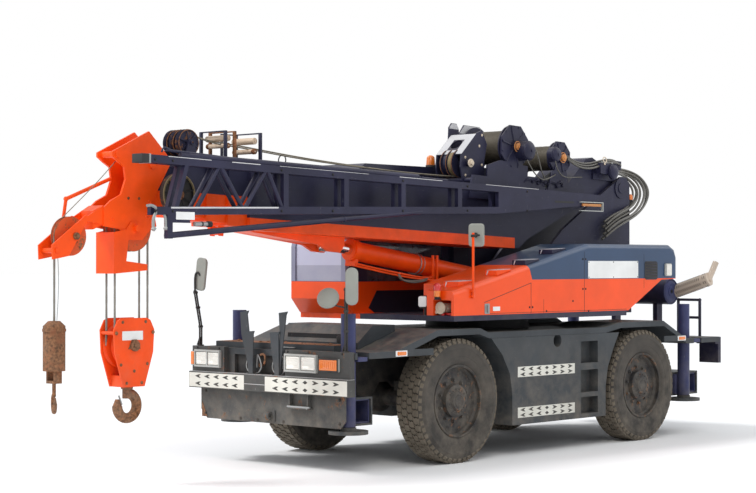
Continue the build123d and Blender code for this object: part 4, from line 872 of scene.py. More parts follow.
def buildLenses():
    s = lampSettings
    lenses, rims = [], []
    for low, high in s["bezels"]:
        middle = (low + high) / 2
        for y0, y1 in ((low + 0.018, middle - 0.008), (middle + 0.008, high - 0.018)):
            z0, z1 = s["low"] + 0.020, s["high"] - 0.020
            lens = boxPart(at(s["face"] + 0.011, y0 + 0.004, z0 + 0.004),
                           at(s["face"] + 0.0235, y1 - 0.004, z1 - 0.004), 0.006, 3)
            pickFaces(lens, lambda place, facing: facing.x > 0.95)
            bpy.ops.mesh.inset(thickness=0.012, depth=-0.004)
            endEdit()
            lenses.append(lens)
            for z in (z0 + 0.045, z0 + 0.088):
                lenses.append(boxPart(at(s["face"] + 0.015, y0 + 0.018, z),
                                      at(s["face"] + 0.0225, y1 - 0.018, z + 0.004), 0.001))
        frame = platePart([at(s["face"] + 0.0262, low + 0.004, s["low"] + 0.004),
                           at(s["face"] + 0.0262, high - 0.004, s["low"] + 0.004),
                           at(s["face"] + 0.0262, high - 0.004, s["high"] - 0.004),
                           at(s["face"] + 0.0262, low + 0.004, s["high"] - 0.004)], 0.004,
                          (1, 0, 0), 0)
        pickFaces(frame, lambda place, facing: facing.x > 0.95)
        bpy.ops.mesh.inset(thickness=0.012, depth=0.0)
        bpy.ops.mesh.delete(type="FACE")
        pickFaces(frame, lambda place, facing: facing.x < -0.95)
        bpy.ops.mesh.inset(thickness=0.012, depth=0.0)
        bpy.ops.mesh.delete(type="FACE")
        bpy.ops.mesh.select_all(action="SELECT")
        endEdit()
        solid = frame.modifiers.new("wall", "SOLIDIFY")
        solid.thickness = 0.002
        pick(frame)
        bpy.ops.object.modifier_apply(modifier="wall")
        applyBevel(frame, 0.0015)
        rims.append(frame)
    finishPiece("headlampLenses", lenses, "carrier", lensClear)
    finishPiece("headlampRims", rims, "carrier", bezelGrey)


def buildTurnLamps():
    face = lampSettings["face"] + 0.030
    lens = boxPart(at(face - 0.001, 0.722, 0.974), at(face + 0.009, 0.948, 1.073), 0.006, 3)
    pickFaces(lens, lambda place, facing: facing.x > 0.95)
    bpy.ops.mesh.inset(thickness=0.010, depth=-0.003)
    endEdit()
    ribs = [boxPart(at(face + 0.004, 0.740 + 0.026 * i, 0.986),
                    at(face + 0.0085, 0.744 + 0.026 * i, 1.061), 0.001) for i in range(8)]
    far = boxPart(at(3.118, -1.1015, 0.962), at(3.1795, -1.0535, 1.092), 0.008, 3)
    markers = []
    for y, x in lampSettings["markers"]:
        out = 1 if y > 0 else -1
        markers.append(boxPart(at(x - 0.062, min(y, y + out * 0.016), 1.098),
                               at(x + 0.062, max(y, y + out * 0.016), 1.134), 0.008, 3))
    finishPiece("turnLamps", [lens, far] + ribs + markers, "carrier", lensAmber)
    frames = []
    for y, x in lampSettings["markers"]:
        out = 1 if y > 0 else -1
        frames.append(boxPart(at(x - 0.082, min(y, y + out * 0.007), 1.088),
                              at(x + 0.082, max(y, y + out * 0.007), 1.144), 0.003))
    rim = boxPart(at(face - 0.004, 0.708, 0.960), at(face + 0.003, 0.962, 1.087), 0.004)
    finishPiece("markerFrames", frames, "carrier", blankWhite)
    finishPiece("turnLampRim", [rim], "carrier", matBlack)


buildLenses()
buildTurnLamps()
print("carrier lamps ready")

# the hook's resting place, the step and the mirrors at the front

frontSettings = {"loopWire": 0.0065, "prongs": (-0.215, 0.150), "panelFace": 3.1255}


def buildFrontPieces():
    s = frontSettings
    # a black backing at the back of the hook's recess: painted shade
    backing = boxPart(at(3.036, -0.629, 0.896), at(3.060, 0.229, 1.080), 0.002)
    finishPiece("recessShade", backing, "carrier", matBlack)
    loops, rings = [], []
    for foot in s["prongs"]:
        for sideY, wide in ((-1, 0.112), (1, 0.062 if foot > 0 else 0.112)):
            x = 3.142
            path = [at(x, foot + sideY * 0.012, 0.902), at(x, foot + sideY * wide * 0.55, 0.906),
                    at(x, foot + sideY * wide, 0.965), at(x, foot + sideY * wide * 0.80, 1.040),
                    at(x - 0.006, foot + sideY * wide * 0.42, 1.094),
                    at(x - 0.012, foot + sideY * 0.034, 1.066),
                    at(x - 0.014, foot + sideY * 0.026, 0.960)]
            loops.append(tubePart(path, s["loopWire"], 3, 3))
            rings.append(ringPart(at(x - 0.02, foot + sideY * wide * 0.60, 0.985), (1, 0, 0.2),
                                  0.014, 0.005, 16, 6))
            rings.append(rodPart(at(3.060, foot + sideY * wide * 0.60, 0.985),
                                 at(x - 0.02, foot + sideY * wide * 0.60, 0.985), 0.005, 8))
    finishPiece("hookLoops", loops, "carrier", greyFitting)
    finishPiece("loopEyes", rings, "carrier", rustyIron)
    snap = tubePart([at(3.135, -0.130, 1.085), at(3.132, -0.095, 1.105), at(3.130, -0.060, 1.060),
                     at(3.128, -0.085, 1.000)], 0.010, 3, 3)
    finishPiece("restStrap", snap, "carrier", rustyBrown)
    face = s["panelFace"]
    rung = [rodPart(at(face + 0.050, 0.285, 0.612), at(face + 0.050, 0.585, 0.612), 0.010, 12),
            boxPart(at(face + 0.030, 0.300, 0.604), at(face + 0.062, 0.575, 0.609), 0.002)]
    finishPiece("stepRung", rung, "carrier", greyFitting)
    lip = [boxPart(at(3.098, -1.098, 0.8935), at(3.196, 1.098, 0.8985), 0.002),
           boxPart(at(3.1985, -0.295, 0.800), at(3.2012, -0.002, 0.806), 0.001)]
    finishPiece("bumperLip", lip, "carrier", wornEdge)
    bolts = []
    for y in (-1.02, -0.70, 0.27, 0.55, 0.99):
        bolts.append(boltPart(at(3.155, y, 1.132), (1, 0, 0), 0.008, 0.006))
    for y in (-0.93, 0.93):
        for z in (0.48, 0.70):
            bolts.append(boltPart(at(face, y, z), (1, 0, 0), 0.011, 0.008))
    for y in (-0.42, -0.18, 0.18):
        bolts.append(boltPart(at(3.125, y, 0.455), (1, 0, 0), 0.011, 0.008))
    finishPiece("frontBolts", bolts, "carrier", frameBlack)
    eye = ringPart(at(face + 0.030, 0.0, 0.500), (0, 1, 0.0), 0.030, 0.010, 22, 8)
    finishPiece("towEye", eye, "carrier", rustyIron)
    corner = platePart([at(face, -0.985, 0.445), at(face, -0.905, 0.445), at(face, -0.985, 0.60)],
                       0.004, (1, 0, 0), 0.001)
    finishPiece("cornerPlate", corner, "carrier", rustyIron)


def buildLockerTop():
    top = boxPart(at(2.764, -0.880, 1.1975), at(3.026, 0.755, 1.2000), 0.001)
    finishPiece("lockerTop", top, "carrier", rustyBrown)
    bits = []
    for i in range(9):
        x, y = dice.uniform(2.80, 2.99), dice.uniform(-0.80, 0.70)
        size = dice.uniform(0.006, 0.016)
        stone = ballPart(at(x, y, 1.2005 + size * 0.3), size, (1.4, 1.0, 0.6), 8)
        bits.append(turnPart(stone, dice.uniform(0, 180), "Z", at(x, y, 1.2)))
    finishPiece("lockerGrit", bits, "carrier", rustyBrown)
    handle = tubePart([at(3.030, 0.10, 1.165), at(3.048, 0.10, 1.165), at(3.048, 0.10, 1.165),
                       at(3.048, 0.24, 1.165), at(3.048, 0.24, 1.165), at(3.030, 0.24, 1.165)],
                      0.005, 3, 2)
    finishPiece("lockerHandle", handle, "carrier", greyFitting)
    lamp = [rodPart(at(2.66, 0.47, 1.205), at(2.66, 0.47, 1.262), 0.024, 18, 0.004),
            ballPart(at(2.66, 0.47, 1.262), 0.024, (1, 1, 0.7), 16)]
    finishPiece("deckPlug", lamp, "carrier", matBlack)


def roundOutline(centre, right, up, wide, tall, corner, steps=4):
    points = []
    for sx, sy, start in ((1, 1, 0), (-1, 1, 90), (-1, -1, 180), (1, -1, 270)):
        middle = centre + right * sx * (wide / 2 - corner) + up * sy * (tall / 2 - corner)
        for i in range(steps + 1):
            angle = math.radians(start + 90 * i / steps)
            points.append(middle + right * corner * math.cos(angle)
                          + up * corner * math.sin(angle))
    return points


def roundPlate(centre, right, up, wide, tall, corner, thick, bevel=0.0):
    right, up = Vector(right).normalized(), Vector(up).normalized()
    outline = roundOutline(Vector(centre), right, up, wide, tall, corner)
    return platePart(outline, thick, right.cross(up), bevel)


mirrorSettings = {"x": 3.125, "foot": 1.1494, "poleWire": 0.009, "tallHead": (0.150, 0.330),
                  "ovalHead": (0.120, 0.350), "roundHead": 0.105}


def buildMirrorPieces():
    s = mirrorSettings
    x, foot = s["x"], s["foot"]
    poles, shells, faces = [], [], []
    for sideY, top in ((-1, 1.70), (1, 1.75)):
        y = sideY * 1.01
        poles.append(rodPart(at(x, y, foot), at(x, y, foot + 0.010), 0.034, 20, 0.002))
        poles.append(platePart([at(3.095, y - 0.030, foot + 0.008), at(3.155, y - 0.030, foot
                                + 0.008), at(3.137, y - 0.012, foot + 0.085),
                                at(3.113, y - 0.012, foot + 0.085)], 0.012, (0, 1, 0), 0.002))
        for gap in (-0.013, 0.013):
            lean = -0.085 if sideY < 0 else 0.0
            poles.append(tubePart([at(x + gap, y, foot + 0.01), at(x + gap, y, 1.35),
                                   at(x + gap, y + lean, top)], s["poleWire"], 3, 2))
        for z in (1.33, 1.52, top - 0.03):
            along = max(0.0, (z - 1.35) / (top - 1.35))
            shift = (-0.085 if sideY < 0 else 0.0) * along
            poles.append(boxPart(at(3.102, y + shift - 0.012, z), at(3.148, y + shift + 0.012,
                                 z + 0.022), 0.003))
    poles.append(tubePart([at(x, -1.095, 1.68), at(3.127, -1.100, 1.80), at(3.124, -1.088,
                           1.880), at(3.117, -1.050, 1.885), at(3.108, -1.036, 1.850)],
                          0.010, 3, 3))
    poles.append(tubePart([at(x, 1.010, 1.74), at(3.122, 1.020, 1.80), at(3.112, 1.048, 1.79),
                           at(3.106, 1.052, 1.76)], 0.009, 3, 3))
    poles.append(tubePart([at(x, 1.010, 1.56), at(3.180, 0.980, 1.575), at(3.215, 0.905, 1.59),
                           at(3.222, 0.880, 1.640)], 0.008, 3, 3))
    finishPiece("mirrorPoles", poles, "carrier", matBlack)
    wide, tall = s["tallHead"]
    lean = math.radians(8)
    right = Vector((0, math.cos(lean), -math.sin(lean)))
    up = Vector((0, math.sin(lean), math.cos(lean)))
    far = Vector(at(3.083, -1.035, 1.865))
    shells.append(roundPlate(far, right, up, wide, tall, 0.045, 0.028, 0.008))
    faces.append(roundPlate(far - Vector((0.0015, 0, 0)), right, up, wide - 0.018, tall - 0.018,
                            0.038, 0.003))
    turn = math.radians(50)
    right = Vector((-math.sin(turn), math.cos(turn), 0))
    up = Vector((0, 0, 1))
    near = Vector(at(3.095, 1.052, 1.76))
    wide, tall = s["ovalHead"]
    shells.append(roundPlate(near, right, up, wide, tall, 0.055, 0.026, 0.007))
    back = right.cross(up) * -0.0015
    faces.append(roundPlate(near + back, right, up, wide - 0.016, tall - 0.016, 0.048, 0.003))
    facing = Vector((0.75, 0.45, 0.45)).normalized()
    disc = Vector(at(3.225, 0.871, 1.655))
    dish = rodPart(disc - facing * 0.020, disc, s["roundHead"], 36, 0.004)
    cap = rodPart(disc, disc + facing * 0.022, s["roundHead"] * 0.93, 36, 0.003,
                  s["roundHead"] * 0.45)
    shells += [dish, cap]
    faces.append(rodPart(disc - facing * 0.0215, disc - facing * 0.0185, s["roundHead"] * 0.93,
                         36))
    shellPiece = finishPiece("mirrorShells", shells, "carrier", mirrorBack)
    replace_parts(shellPiece, "carrier_mirrors")
    finishPiece("mirrorFaces", faces, "carrier", hardChrome)


buildFrontPieces()
buildLockerTop()
buildMirrorPieces()
print("front pieces ready")

# the engine house's side: seams, plates, hatches and lamp

houseSettings = {"face": 1.0702, "seam": 0.005, "front": 1.6503}


def slopeZ(x):
    return 1.700 + (1.65 - x) * (2.185 - 1.700) / 2.25


def sideStrip(start, end, wide, lift=0.0010):
    # a thin strip on the house's left side between two places (x, z)
    y = houseSettings["face"]
    along = Vector((end[0] - start[0], 0, end[1] - start[1])).normalized()
    cross = Vector((-along.z, 0, along.x)) * wide / 2
    a, b = at(start[0], y, start[1]), at(end[0], y, end[1])
    return platePart([a - cross, b - cross, b + cross, a + cross], lift, (0, 1, 0), 0)


def sidePlate(x0, x1, z0, z1, corner, thick, bevel=0.0, y=None):
    y = houseSettings["face"] if y is None else y
    return roundPlate(at((x0 + x1) / 2, y, (z0 + z1) / 2), (-1, 0, 0), (0, 0, 1), x1 - x0,
                      z1 - z0, corner, thick, bevel)


def buildHouseSide():
    s = houseSettings
    seams = [sideStrip((-0.516, 1.458), (-0.516, 2.10), s["seam"]),
             sideStrip((0.415, 1.458), (0.415, 1.775), s["seam"]),
             sideStrip((0.200, 1.458), (0.200, 1.600), s["seam"] * 0.6),
             sideStrip((1.180, 1.580), (0.415, 1.771), s["seam"]),
             sideStrip((1.150, 1.468), (-1.30, 1.468), s["seam"] * 0.8),
             sideStrip((-1.640, 1.700), (-1.640, 2.08), s["seam"] * 0.7)]
    finishPiece("houseSeams", seams, "superstructure", matBlack)
    plates = [sidePlate(-1.523, -0.582, 1.812, 2.000, 0.006, 0.0035, 0.001),
              sidePlate(0.927, 1.040, 1.493, 1.536, 0.004, 0.0015)]
    finishPiece("housePlates", plates, "superstructure", blankWhite)
    # a black plate behind the hatch's slats: painted shade between them
    ventShade = [sidePlate(-1.905, -1.654, 1.792, 1.997, 0.030, 0.004, 0.001)]
    finishPiece("houseVentShade", ventShade, "superstructure", matBlack)
    rim = [tubePart([at(-1.655 - w, 1.0735, z) for w, z in
                     ((0.03, 1.794), (0.125, 1.794), (0.22, 1.794))], 0.003, 2, 2)]
    for i in range(6):
        z = 1.815 + i * 0.032
        rim.append(boxPart(at(-1.885, 1.074, z), at(-1.675, 1.0775, z + 0.006), 0.001))
    finishPiece("hatchSlats", rim, "superstructure", navyPaint)
    lamp = sidePlate(-2.162, -2.047, 1.830, 1.973, 0.012, 0.022, 0.003)
    finishPiece("houseLampBase", lamp, "superstructure", bezelGrey)
    lens = sidePlate(-2.154, -2.055, 1.838, 1.965, 0.010, 0.009, 0.002, 1.0922)
    finishPiece("houseLampLens", lens, "superstructure", lensClear)
    screws = []
    for x, z in ((0.152, 1.475), (-0.311, 1.573), (-0.592, 1.461), (1.12, 1.50), (-0.49, 1.70),
                 (-0.54, 1.70), (-0.49, 2.02), (-0.54, 2.02), (0.39, 1.52), (0.44, 1.52)):
        screws.append(boltPart(at(x, s["face"], z), (0, 1, 0), 0.008, 0.005))
    for x in (-1.51, -1.05, -0.595):
        for z in (1.824, 1.988):
            screws.append(boltPart(at(x, 1.0737, z), (0, 1, 0), 0.005, 0.003))
    handle = [sidePlate(1.095, 1.175, 1.465, 1.569, 0.008, 0.004, 0.001),
              boxPart(at(1.122, 1.074, 1.478), at(1.136, 1.084, 1.556), 0.003),
              boxPart(at(1.150, 1.074, 1.486), at(1.158, 1.080, 1.548), 0.002)]
    finishPiece("houseScrews", screws, "superstructure", frameBlack)
    finishPiece("houseHandle", handle, "superstructure", greyFitting)


hatchSettings = {"lift": 0.052, "run": 0.20, "cap": 0.004}


def buildSlopeHatches():
    # raised covers standing on the slope, each with a pale lid that is a painted highlight and a
    # pale sliver on its front that is a painted glint
    s = hatchSettings
    orangeBoxes, navyBoxes, litTops = [], [], []
    for x, y0, y1, kind in ((1.47, 0.780, 0.980, 0), (0.95, 0.890, 1.045, 0),
                            (0.467, 0.860, 1.035, 1), (-0.065, 0.80, 0.98, 1)):
        low, back = slopeZ(x), x - s["run"] - 0.04
        outline = [at(x, y0, low - 0.002), at(x, y0, low + s["lift"]),
                   at(back, y0, slopeZ(back) + 0.012), at(back, y0, slopeZ(back) - 0.002)]
        (navyBoxes if kind else orangeBoxes).append(platePart(outline, y1 - y0, (0, 1, 0), 0.004))
        # the pale lid on top of each cover: a painted highlight
        litTop = platePart([at(x - 0.012, y0 + 0.012, low + s["lift"]),
                         at(back, y0 + 0.012, slopeZ(back) + 0.012),
                         at(back, y1 - 0.012, slopeZ(back) + 0.012),
                         at(x - 0.012, y1 - 0.012, low + s["lift"])], s["cap"], (0.1, 0, 1), 0.001)
        litTops.append(litTop)
        # a thin pale sliver on the cover's front face: a painted glint
        litTops.append(platePart([at(x + 0.001, y0 + 0.02, low + 0.004), at(x + 0.001, y0 + 0.03,
                               low + 0.004), at(x + 0.001, y0 + 0.05, low + s["lift"] - 0.004),
                               at(x + 0.001, y0 + 0.035, low + s["lift"] - 0.004)], 0.001,
                              (1, 0, 0), 0))
    finishPiece("slopeHatches", orangeBoxes, "superstructure", orangePaint)
    finishPiece("rearHatches", navyBoxes, "superstructure", navyPaint)
    finishPiece("hatchHighlights", litTops, "superstructure", highlightGloss)


def buildUpperFittings():
    # work lamp, horn, beacons and mirror in place of the plain ones
    lampY, hornY = 0.630, 0.866
    dark = [rodPart(at(1.575, lampY, 1.4553), at(1.575, lampY, 1.535), 0.015, 14),
            boxPart(at(1.560, lampY - 0.066, 1.520), at(1.590, lampY + 0.066, 1.530), 0.002),
            boxPart(at(1.530, lampY - 0.060, 1.530), at(1.612, lampY + 0.060, 1.650), 0.016, 3)]
    for sideY in (-0.064, 0.064):
        dark.append(boxPart(at(1.562, lampY + sideY - 0.003, 1.524), at(1.588, lampY + sideY
                            + 0.003, 1.600), 0.001))
    finishPiece("workLamp", dark, "superstructure", matBlack)
    lens = roundPlate(at(1.612, lampY, 1.590), (0, 1, 0), (0, 0, 1), 0.108, 0.108, 0.022, 0.013,
                      0.004)
    finishPiece("workLampLens", lens, "superstructure", blankWhite)
    horn = [rodPart(at(1.430, hornY, 1.529), at(1.565, hornY, 1.529), 0.052, 28, 0.004),
            rodPart(at(1.560, hornY, 1.529), at(1.618, hornY, 1.529), 0.046, 28, 0, 0.060),
            ringPart(at(1.618, hornY, 1.529), (1, 0, 0), 0.057, 0.006, 32, 8),
            rodPart(at(1.600, hornY, 1.529), at(1.617, hornY, 1.529), 0.020, 20, 0.003),
            ringPart(at(1.6185, hornY, 1.529), (1, 0, 0), 0.030, 0.004, 24, 6),
            rodPart(at(1.600, hornY - 0.06, 1.470), at(1.600, hornY - 0.06, 1.505), 0.022, 16,
                    0.004)]
    finishPiece("hornBody", horn, "superstructure", hornBeige)
    under = [rodPart(at(1.480, hornY, 1.4553), at(1.480, hornY, 1.490), 0.014, 12),
             rodPart(at(1.560, hornY - 0.02, 1.468), at(1.560, hornY + 0.11, 1.468), 0.013, 12,
                     0.002),
             rodPart(at(1.600, hornY + 0.02, 1.4553), at(1.600, hornY + 0.02, 1.480), 0.018, 12,
                     0.002),
             rodPart(at(1.610, 0.725, 1.47), at(1.625, 0.790, 1.56), 0.010, 10)]
    finishPiece("hornFeet", under, "superstructure", lensRed)
    face = houseSettings["front"]
    beaconX, beaconY = face + 0.044, 0.890
    rearX, rearY = -2.372, 0.378
    shelf = [boxPart(at(face, beaconY - 0.016, 1.612), at(beaconX + 0.030, beaconY + 0.016,
                     1.622), 0.002),
             rodPart(at(beaconX, beaconY, 1.620), at(beaconX, beaconY, 1.645), 0.028, 20, 0.002),
             rodPart(at(rearX, rearY, 2.702), at(rearX, rearY, 2.722), 0.030, 20, 0.002),
             boxPart(at(-2.400, 0.360, 2.690), at(-2.3323, 0.395, 2.702), 0.001)]
    finishPiece("beaconFeet", shelf, "superstructure", frameBlack)
    amber = [rodPart(at(beaconX, beaconY, 1.642), at(beaconX, beaconY, 1.706), 0.035, 24, 0.003),
             rodPart(at(rearX, rearY, 2.720), at(rearX, rearY, 2.765), 0.028, 20, 0.004),
             ballPart(at(rearX, rearY, 2.765), 0.028, (1, 1, 0.85), 20)]
    finishPiece("beaconAmber", amber, "superstructure", lensAmber)
    red = [rodPart(at(beaconX, beaconY, 1.704), at(beaconX, beaconY, 1.744), 0.038, 24, 0.003),
           ballPart(at(beaconX, beaconY, 1.743), 0.038, (1, 1, 0.95), 24)]
    finishPiece("beaconRed", red, "superstructure", lensRed)
    poleX, poleY = 1.375, 1.0883
    pole = [rodPart(at(poleX, poleY, 1.625), at(poleX, poleY, 2.280), 0.013, 18, 0.002)]
    for z in (1.640, 1.690):
        pole.append(boxPart(at(poleX - 0.024, 1.0703, z), at(poleX + 0.024, poleY + 0.010,
                                                             z + 0.014), 0.002))
    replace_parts(finishPiece("mirrorPole", pole, "superstructure", orangePaint), "upper_fittings")
    turn = math.radians(20)
    right = Vector((-math.sin(turn), math.cos(turn), 0))
    centre = Vector(at(poleX - 0.098, poleY - 0.038, 2.257)) - right.cross(Vector((0, 0, 1))) \
        * 0.014
    shell = [roundPlate(centre, right, (0, 0, 1), 0.166, 0.233, 0.034, 0.028, 0.009)]
    finishPiece("poleMirrorShell", shell, "superstructure", mirrorBack)
    plate = roundPlate(centre - right.cross(Vector((0, 0, 1))) * 0.0015, right, (0, 0, 1), 0.150,
                       0.217, 0.030, 0.003)
    finishPiece("poleMirrorFace", plate, "superstructure", hardChrome)
    clamp = [rodPart(at(poleX - 0.105, poleY, 2.257), at(poleX + 0.004, poleY, 2.257), 0.008, 10),
             rodPart(at(poleX - 0.070, poleY - 0.02, 2.257), at(poleX - 0.058, poleY - 0.02,
                     2.257), 0.026, 18, 0.003),
             boxPart(at(poleX - 0.018, poleY - 0.018, 2.235), at(poleX + 0.018, poleY + 0.018,
                     2.262), 0.004),
             boltPart(at(poleX, poleY + 0.018, 2.248), (0, 1, 0), 0.008, 0.006)]
    finishPiece("poleClamp", clamp, "superstructure", matBlack)
    cabX, cabY = 0.240, -0.460
    foot = [rodPart(at(cabX, cabY, 3.0203), at(cabX, cabY, 3.050), 0.056, 28, 0.004),
            ringPart(at(cabX, cabY, 3.052), (0, 0, 1), 0.052, 0.005, 30, 6)]
    finishPiece("cabBeaconFoot", foot, "superstructure", matBlack)
    dome = [rodPart(at(cabX, cabY, 3.048), at(cabX, cabY, 3.130), 0.052, 28, 0.003, 0.046),
            ballPart(at(cabX, cabY, 3.130), 0.0455, (1, 1, 0.8), 24)]
    finishPiece("cabBeaconDome", dome, "superstructure", lensAmber)


buildHouseSide()
buildSlopeHatches()
buildUpperFittings()
print("house ready")

# winches: wound rope, hubs, motors and hoses

winchSettings = {"rope": 0.0065, "main": (1.934, 0.325), "aux": (1.112, 0.270),
                 "mainWound": (0.176, 0.245), "auxWound": (0.132, 0.215),
                 "mainStuds": (0.222, 12), "auxStuds": (0.168, 10),
                 "guide": (2.590, 0.099), "cover": 0.360}


def windRope(centre, radius, halfLength, wire, rideOn, name, material):
    # rope wound side by side: a scalloped profile spun about the drum's axle
    points = []
    turns = int(halfLength * 2 / (wire * 2))
    start = -turns * wire
    for turn in range(turns):
        lift = dice.uniform(-0.12, 0.12) * wire
        for part in range(4):
            angle = math.pi * (0.12 + 0.76 * part / 3)
            points.append(Vector((0, start + wire * (2 * turn + 1) - wire * math.cos(angle),
                                  radius + wire * math.sin(angle) + lift)))
    ends = [Vector((0, start, radius - 0.01))] + points + [Vector((0, -start, radius - 0.01))]
    obj = newPart(name, ends, [(i, i + 1) for i in range(len(ends) - 1)], [])
    editAll(obj)
    bpy.ops.mesh.spin(steps=56, angle=math.tau, center=(0, 0, 0), axis=(0, 1, 0))
    closeUp(0.00005)
    obj.location = centre
    settle(obj)
    return finishPiece(name, obj, rideOn, material, 60)


def buildWoundRope():
    s = winchSettings
    windRope(onBoom(s["main"][0], 0, s["main"][1]), *s["mainWound"], s["rope"],
             "main_winch_drum", "mainRopeTurns", ropeDark)
    windRope(onBoom(s["aux"][0], 0, s["aux"][1]), *s["auxWound"], s["rope"],
             "aux_winch_drum", "auxRopeTurns", ropeDark)


def hubParts(place, radius, bolts):
    x, z = place
    out = winchSettings["cover"]
    parts, studs = [], []
    for i in range(bolts):
        turn = math.tau * (i + 0.5) / bolts
        studs.append(boltPart(onBoom(x + radius * math.cos(turn), out - 0.0597,
                                     z + radius * math.sin(turn)), (0, 1, 0), 0.009, 0.008))
    parts.append(rodPart(onBoom(x, out - 0.03, z), onBoom(x, out + 0.003, z), 0.040, 28, 0.005))
    parts.append(rodPart(onBoom(x, out, z), onBoom(x, out + 0.014, z), 0.024, 6, 0.004))
    parts.append(ringPart(onBoom(x, out - 0.022, z), (0, 1, 0), 0.056, 0.005, 30, 6))
    return parts, studs


def buildWinchFronts():
    s = winchSettings
    hubs, studs = hubParts(s["main"], *s["mainStuds"])
    more, others = hubParts(s["aux"], *s["auxStuds"])
    finishPiece("winchHubs", hubs + more, "boom", hubOrange)
    finishPiece("winchStuds", studs + others, "boom", navyPaint)
    domes = []
    for place, radius, out in (((s["main"][0] - 0.095, s["main"][1] - 0.040), 0.104, 0.4195),
                               ((s["aux"][0] + 0.175, s["aux"][1] + 0.020), 0.079, 0.3795)):
        dome = ballPart(onBoom(place[0], out, place[1]), radius, (1, 0.42, 1), 28)
        domes.append(dome)
        domes.append(ringPart(onBoom(place[0], out - 0.005, place[1]), (0, 1, 0), radius, 0.006,
                              36, 6))
        domes.append(rodPart(onBoom(place[0], out + radius * 0.36, place[1]),
                             onBoom(place[0], out + radius * 0.50, place[1]), 0.018, 12, 0.003))
    finishPiece("motorDomes", domes, "boom", navyPaint)
    x, z = s["guide"]
    out = 0.2205
    nuts = [rodPart(onBoom(x, out, z), onBoom(x, out + 0.012, z), 0.046, 24, 0.003),
            rodPart(onBoom(x, out + 0.010, z), onBoom(x, out + 0.036, z), 0.026, 6, 0.003)]
    for along, up in ((2.40, 0.30), (2.36, 0.42), (2.63, 0.16), (2.35, 0.10), (2.62, -0.03)):
        nuts.append(boltPart(onBoom(along, 0.1803, up), (0, 1, 0), 0.010, 0.008))
    finishPiece("guideNuts", nuts, "boom", hornBeige)
    rims = []
    for y in (-0.078, 0.0, 0.078):
        rims.append(ringPart(onBoom(x, y, z), (0, 1, 0), 0.1500, 0.0045, 44, 6))
    finishPiece("guideRims", rims, "boom", rustyBrown)
    windRope(onBoom(x, 0.039, z), 0.134, 0.026, s["rope"], "boom", "guideRopeTurns",
             ropeYellow)


def buildHighlightPlates():
    # pale as a painted highlight: the slanted window plate and the tops of the guards
    bits = []
    out = Vector((0.7071, 0, 0.7071))
    for y0, y1, a, b in ((-0.176, 0.176, 0.006, 0.070), (-0.176, 0.176, 0.245, 0.335),
                         (-0.176, -0.074, 0.070, 0.245), (0.074, 0.176, 0.070, 0.245)):
        spots = []
        for y, along in ((y0, a), (y1, a), (y1, b), (y0, b)):
            spots.append(onBoom(2.690 - along * 0.7071, y, 0.190 + along * 0.7071))
        plate = platePart(spots, 0.0015, onBoom(*out) - onBoom(0, 0, 0), 0)
        bits.append(plate)
    bits.append(platePart([onBoom(2.325, -0.1797, 0.500), onBoom(2.478, -0.1797, 0.500),
                           onBoom(2.474, -0.1797, 0.520), onBoom(2.438, -0.1797, 0.557),
                           onBoom(2.362, -0.1797, 0.557), onBoom(2.327, -0.1797, 0.515)], 0.0015,
                          (0, 1, 0), 0))
    bits.append(platePart([onBoom(1.745, -0.2798, 0.478), onBoom(2.186, -0.2798, 0.478),
                           onBoom(2.108, -0.2798, 0.572), onBoom(1.852, -0.2798, 0.572),
                           onBoom(1.745, -0.2798, 0.520)], 0.0015, (0, 1, 0), 0))
    finishPiece("highlightPlates", bits, "boom", paleHighlight)


